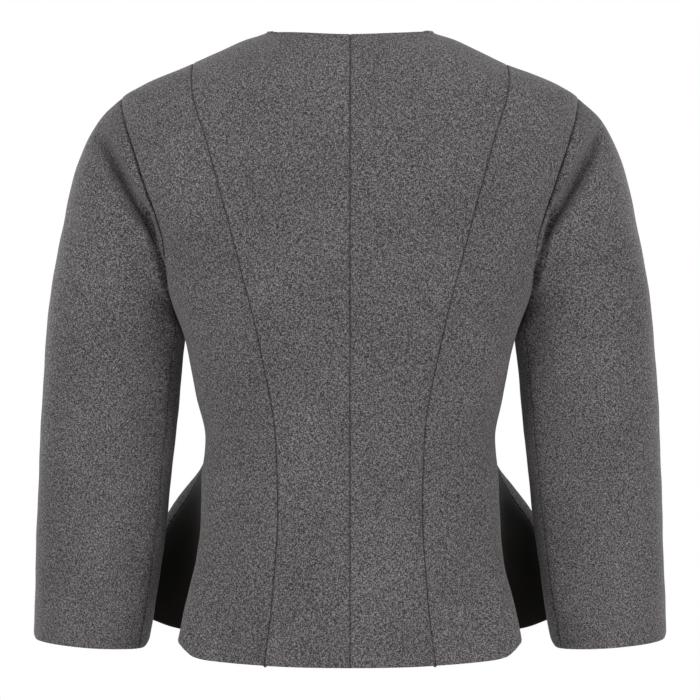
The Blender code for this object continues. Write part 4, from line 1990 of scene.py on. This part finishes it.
    def _buttonhole(self, finish: Material) -> Piece:
        """A worked ring drawn out to a slot, along X, still flat.

        Args:
            finish: The thread.

        Returns:
            The buttonhole.
        """
        deselect()
        bpy.ops.mesh.primitive_torus_add(
            major_radius=self.bar * self.bar_ring,
            minor_radius=self.bar,
            major_segments=self.bar_steps,
            minor_segments=self.cord_sides,
        )
        ring = bpy.context.object
        bpy.ops.object.mode_set(mode="EDIT")
        shape = bmesh.from_edit_mesh(ring.data)
        for vertex in shape.verts:
            vertex.co.x += math.copysign(self.buttonhole_length / 2, vertex.co.x + TINY * self.bar)
            vertex.co.z *= self.bar_flat
        bpy.ops.mesh.select_all(action="DESELECT")
        for side in shape.edges:
            side.select_set(side.calc_length() > self.buttonhole_length / 2)
        bmesh.update_edit_mesh(ring.data)
        bpy.ops.mesh.subdivide(number_cuts=self.buttonhole_cuts)
        bpy.ops.object.mode_set(mode="OBJECT")
        bpy.ops.object.shade_smooth()
        return dress(ring, finish)

    def _lay(self, hole: Piece, z: float) -> None:
        """Lay a flat buttonhole on the right front, from just past the centre line inwards.

        Args:
            hole: The buttonhole.
            z: Its height.
        """
        flat = np.array([vertex.co[:] for vertex in hole.data.vertices])
        middle = self.buttonhole_starts - self.buttonhole_length / 2
        along, height = flat[:, 0] + middle, z + flat[:, 1]
        points = self.form.point(Half.FRONT, along, height)
        normals = self.form.outward(Half.FRONT, along, height)
        laid = points + normals * (flat[:, 2:] + self.bar * self.bar_lift)
        for vertex, place in zip(hole.data.vertices, laid, strict=True):
            vertex.co = place


@dataclass(frozen=True)
class Softbox:
    """A soft studio light, aimed at the middle of the jacket."""

    name: str
    place: Spot
    size: float
    watts: float


@dataclass
class Studio:
    """Plain floor, soft light and the camera at the photo's angle."""

    floor_z: float = -1.42
    floor_size: float = 6.0
    aim: Spot = (0.0, 0.0, -0.281)
    camera_distance: float = 1.8
    lens: float = 105.17
    sensor: float = 36.0
    backdrop: float = 1.0
    ambient: float = 0.25
    white: Colour = (1.0, 1.0, 1.0, 1.0)
    lights: tuple[Softbox, ...] = (
        Softbox("key_left", (1.75, 1.55, 0.25), 1.1, 23.2),
        Softbox("key_right", (-1.75, 1.55, 0.25), 1.1, 23.2),
        Softbox("top", (0.0, 0.5, 1.8), 1.4, 8.0),
        Softbox("front_left", (1.75, -1.75, 0.35), 1.2, 23.0),
        Softbox("front_right", (-1.75, -1.75, 0.35), 1.2, 23.0),
    )

    def build(self, finish: Material) -> None:
        """Set up the floor, lights, world and camera.

        Args:
            finish: The floor's finish.
        """
        deselect()
        bpy.ops.mesh.primitive_plane_add(size=self.floor_size, location=(0, 0, self.floor_z))
        floor = bpy.context.object
        floor.name = "studio_floor"
        settle_place()
        dress(floor, finish)
        for box in self.lights:
            self._light(box)
        self._world()
        self._camera()
        bpy.context.scene.view_settings.view_transform = "Standard"
        log.info("studio with %d lights", len(self.lights))

    def _light(self, box: Softbox) -> None:
        """Hang one softbox and aim it at the jacket.

        Args:
            box: The softbox.
        """
        deselect()
        bpy.ops.object.light_add(type="AREA", location=box.place)
        lamp = bpy.context.object
        lamp.name = box.name
        lamp.data.size = box.size
        lamp.data.energy = box.watts
        lamp.rotation_euler = (Vector(self.aim) - Vector(box.place)).to_track_quat("-Z", "Y").to_euler()

    def _world(self) -> None:
        """White all round as it is seen, but only a dim light on the jacket."""
        world = bpy.data.worlds.new("studio")
        bpy.context.scene.world = world
        world.use_nodes = True
        tree = world.node_tree
        dim, seen = tree.nodes["Background"], tree.nodes.new("ShaderNodeBackground")
        for background, strength in ((dim, self.ambient), (seen, self.backdrop)):
            background.inputs["Color"].default_value = self.white
            background.inputs["Strength"].default_value = strength
        path = tree.nodes.new("ShaderNodeLightPath")
        mix = tree.nodes.new("ShaderNodeMixShader")
        tree.links.new(path.outputs["Is Camera Ray"], mix.inputs[0])
        tree.links.new(dim.outputs[0], mix.inputs[1])
        tree.links.new(seen.outputs[0], mix.inputs[2])
        tree.links.new(mix.outputs[0], tree.nodes["World Output"].inputs["Surface"])

    def _camera(self) -> None:
        """Stand the camera level behind the jacket."""
        deselect()
        place = (self.aim[0], self.camera_distance, self.aim[2])
        bpy.ops.object.camera_add(location=place, rotation=(math.pi / 2, 0, math.pi))
        camera = bpy.context.object
        camera.data.sensor_width = self.sensor
        camera.data.lens = self.lens
        bpy.context.scene.camera = camera


def main() -> None:
    """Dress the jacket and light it."""
    logging.basicConfig(level=logging.INFO, format="%(name)s: %(message)s")
    form = BodyForm()
    wool = WoolFinish().make()
    pieces = Torso(form).build(wool, PaintedRecessShadeFinish().make())
    pieces += Sleeve(form).build(wool)
    pieces += Closure(form).build(ButtonFinish().make(), ThreadFinish().make())
    for piece in pieces:
        log.info("%s: %d points", piece.name, len(piece.data.vertices))
    Studio().build(FloorFinish().make())
    bpy.context.view_layer.update()


if __name__ == "__main__":
    main()
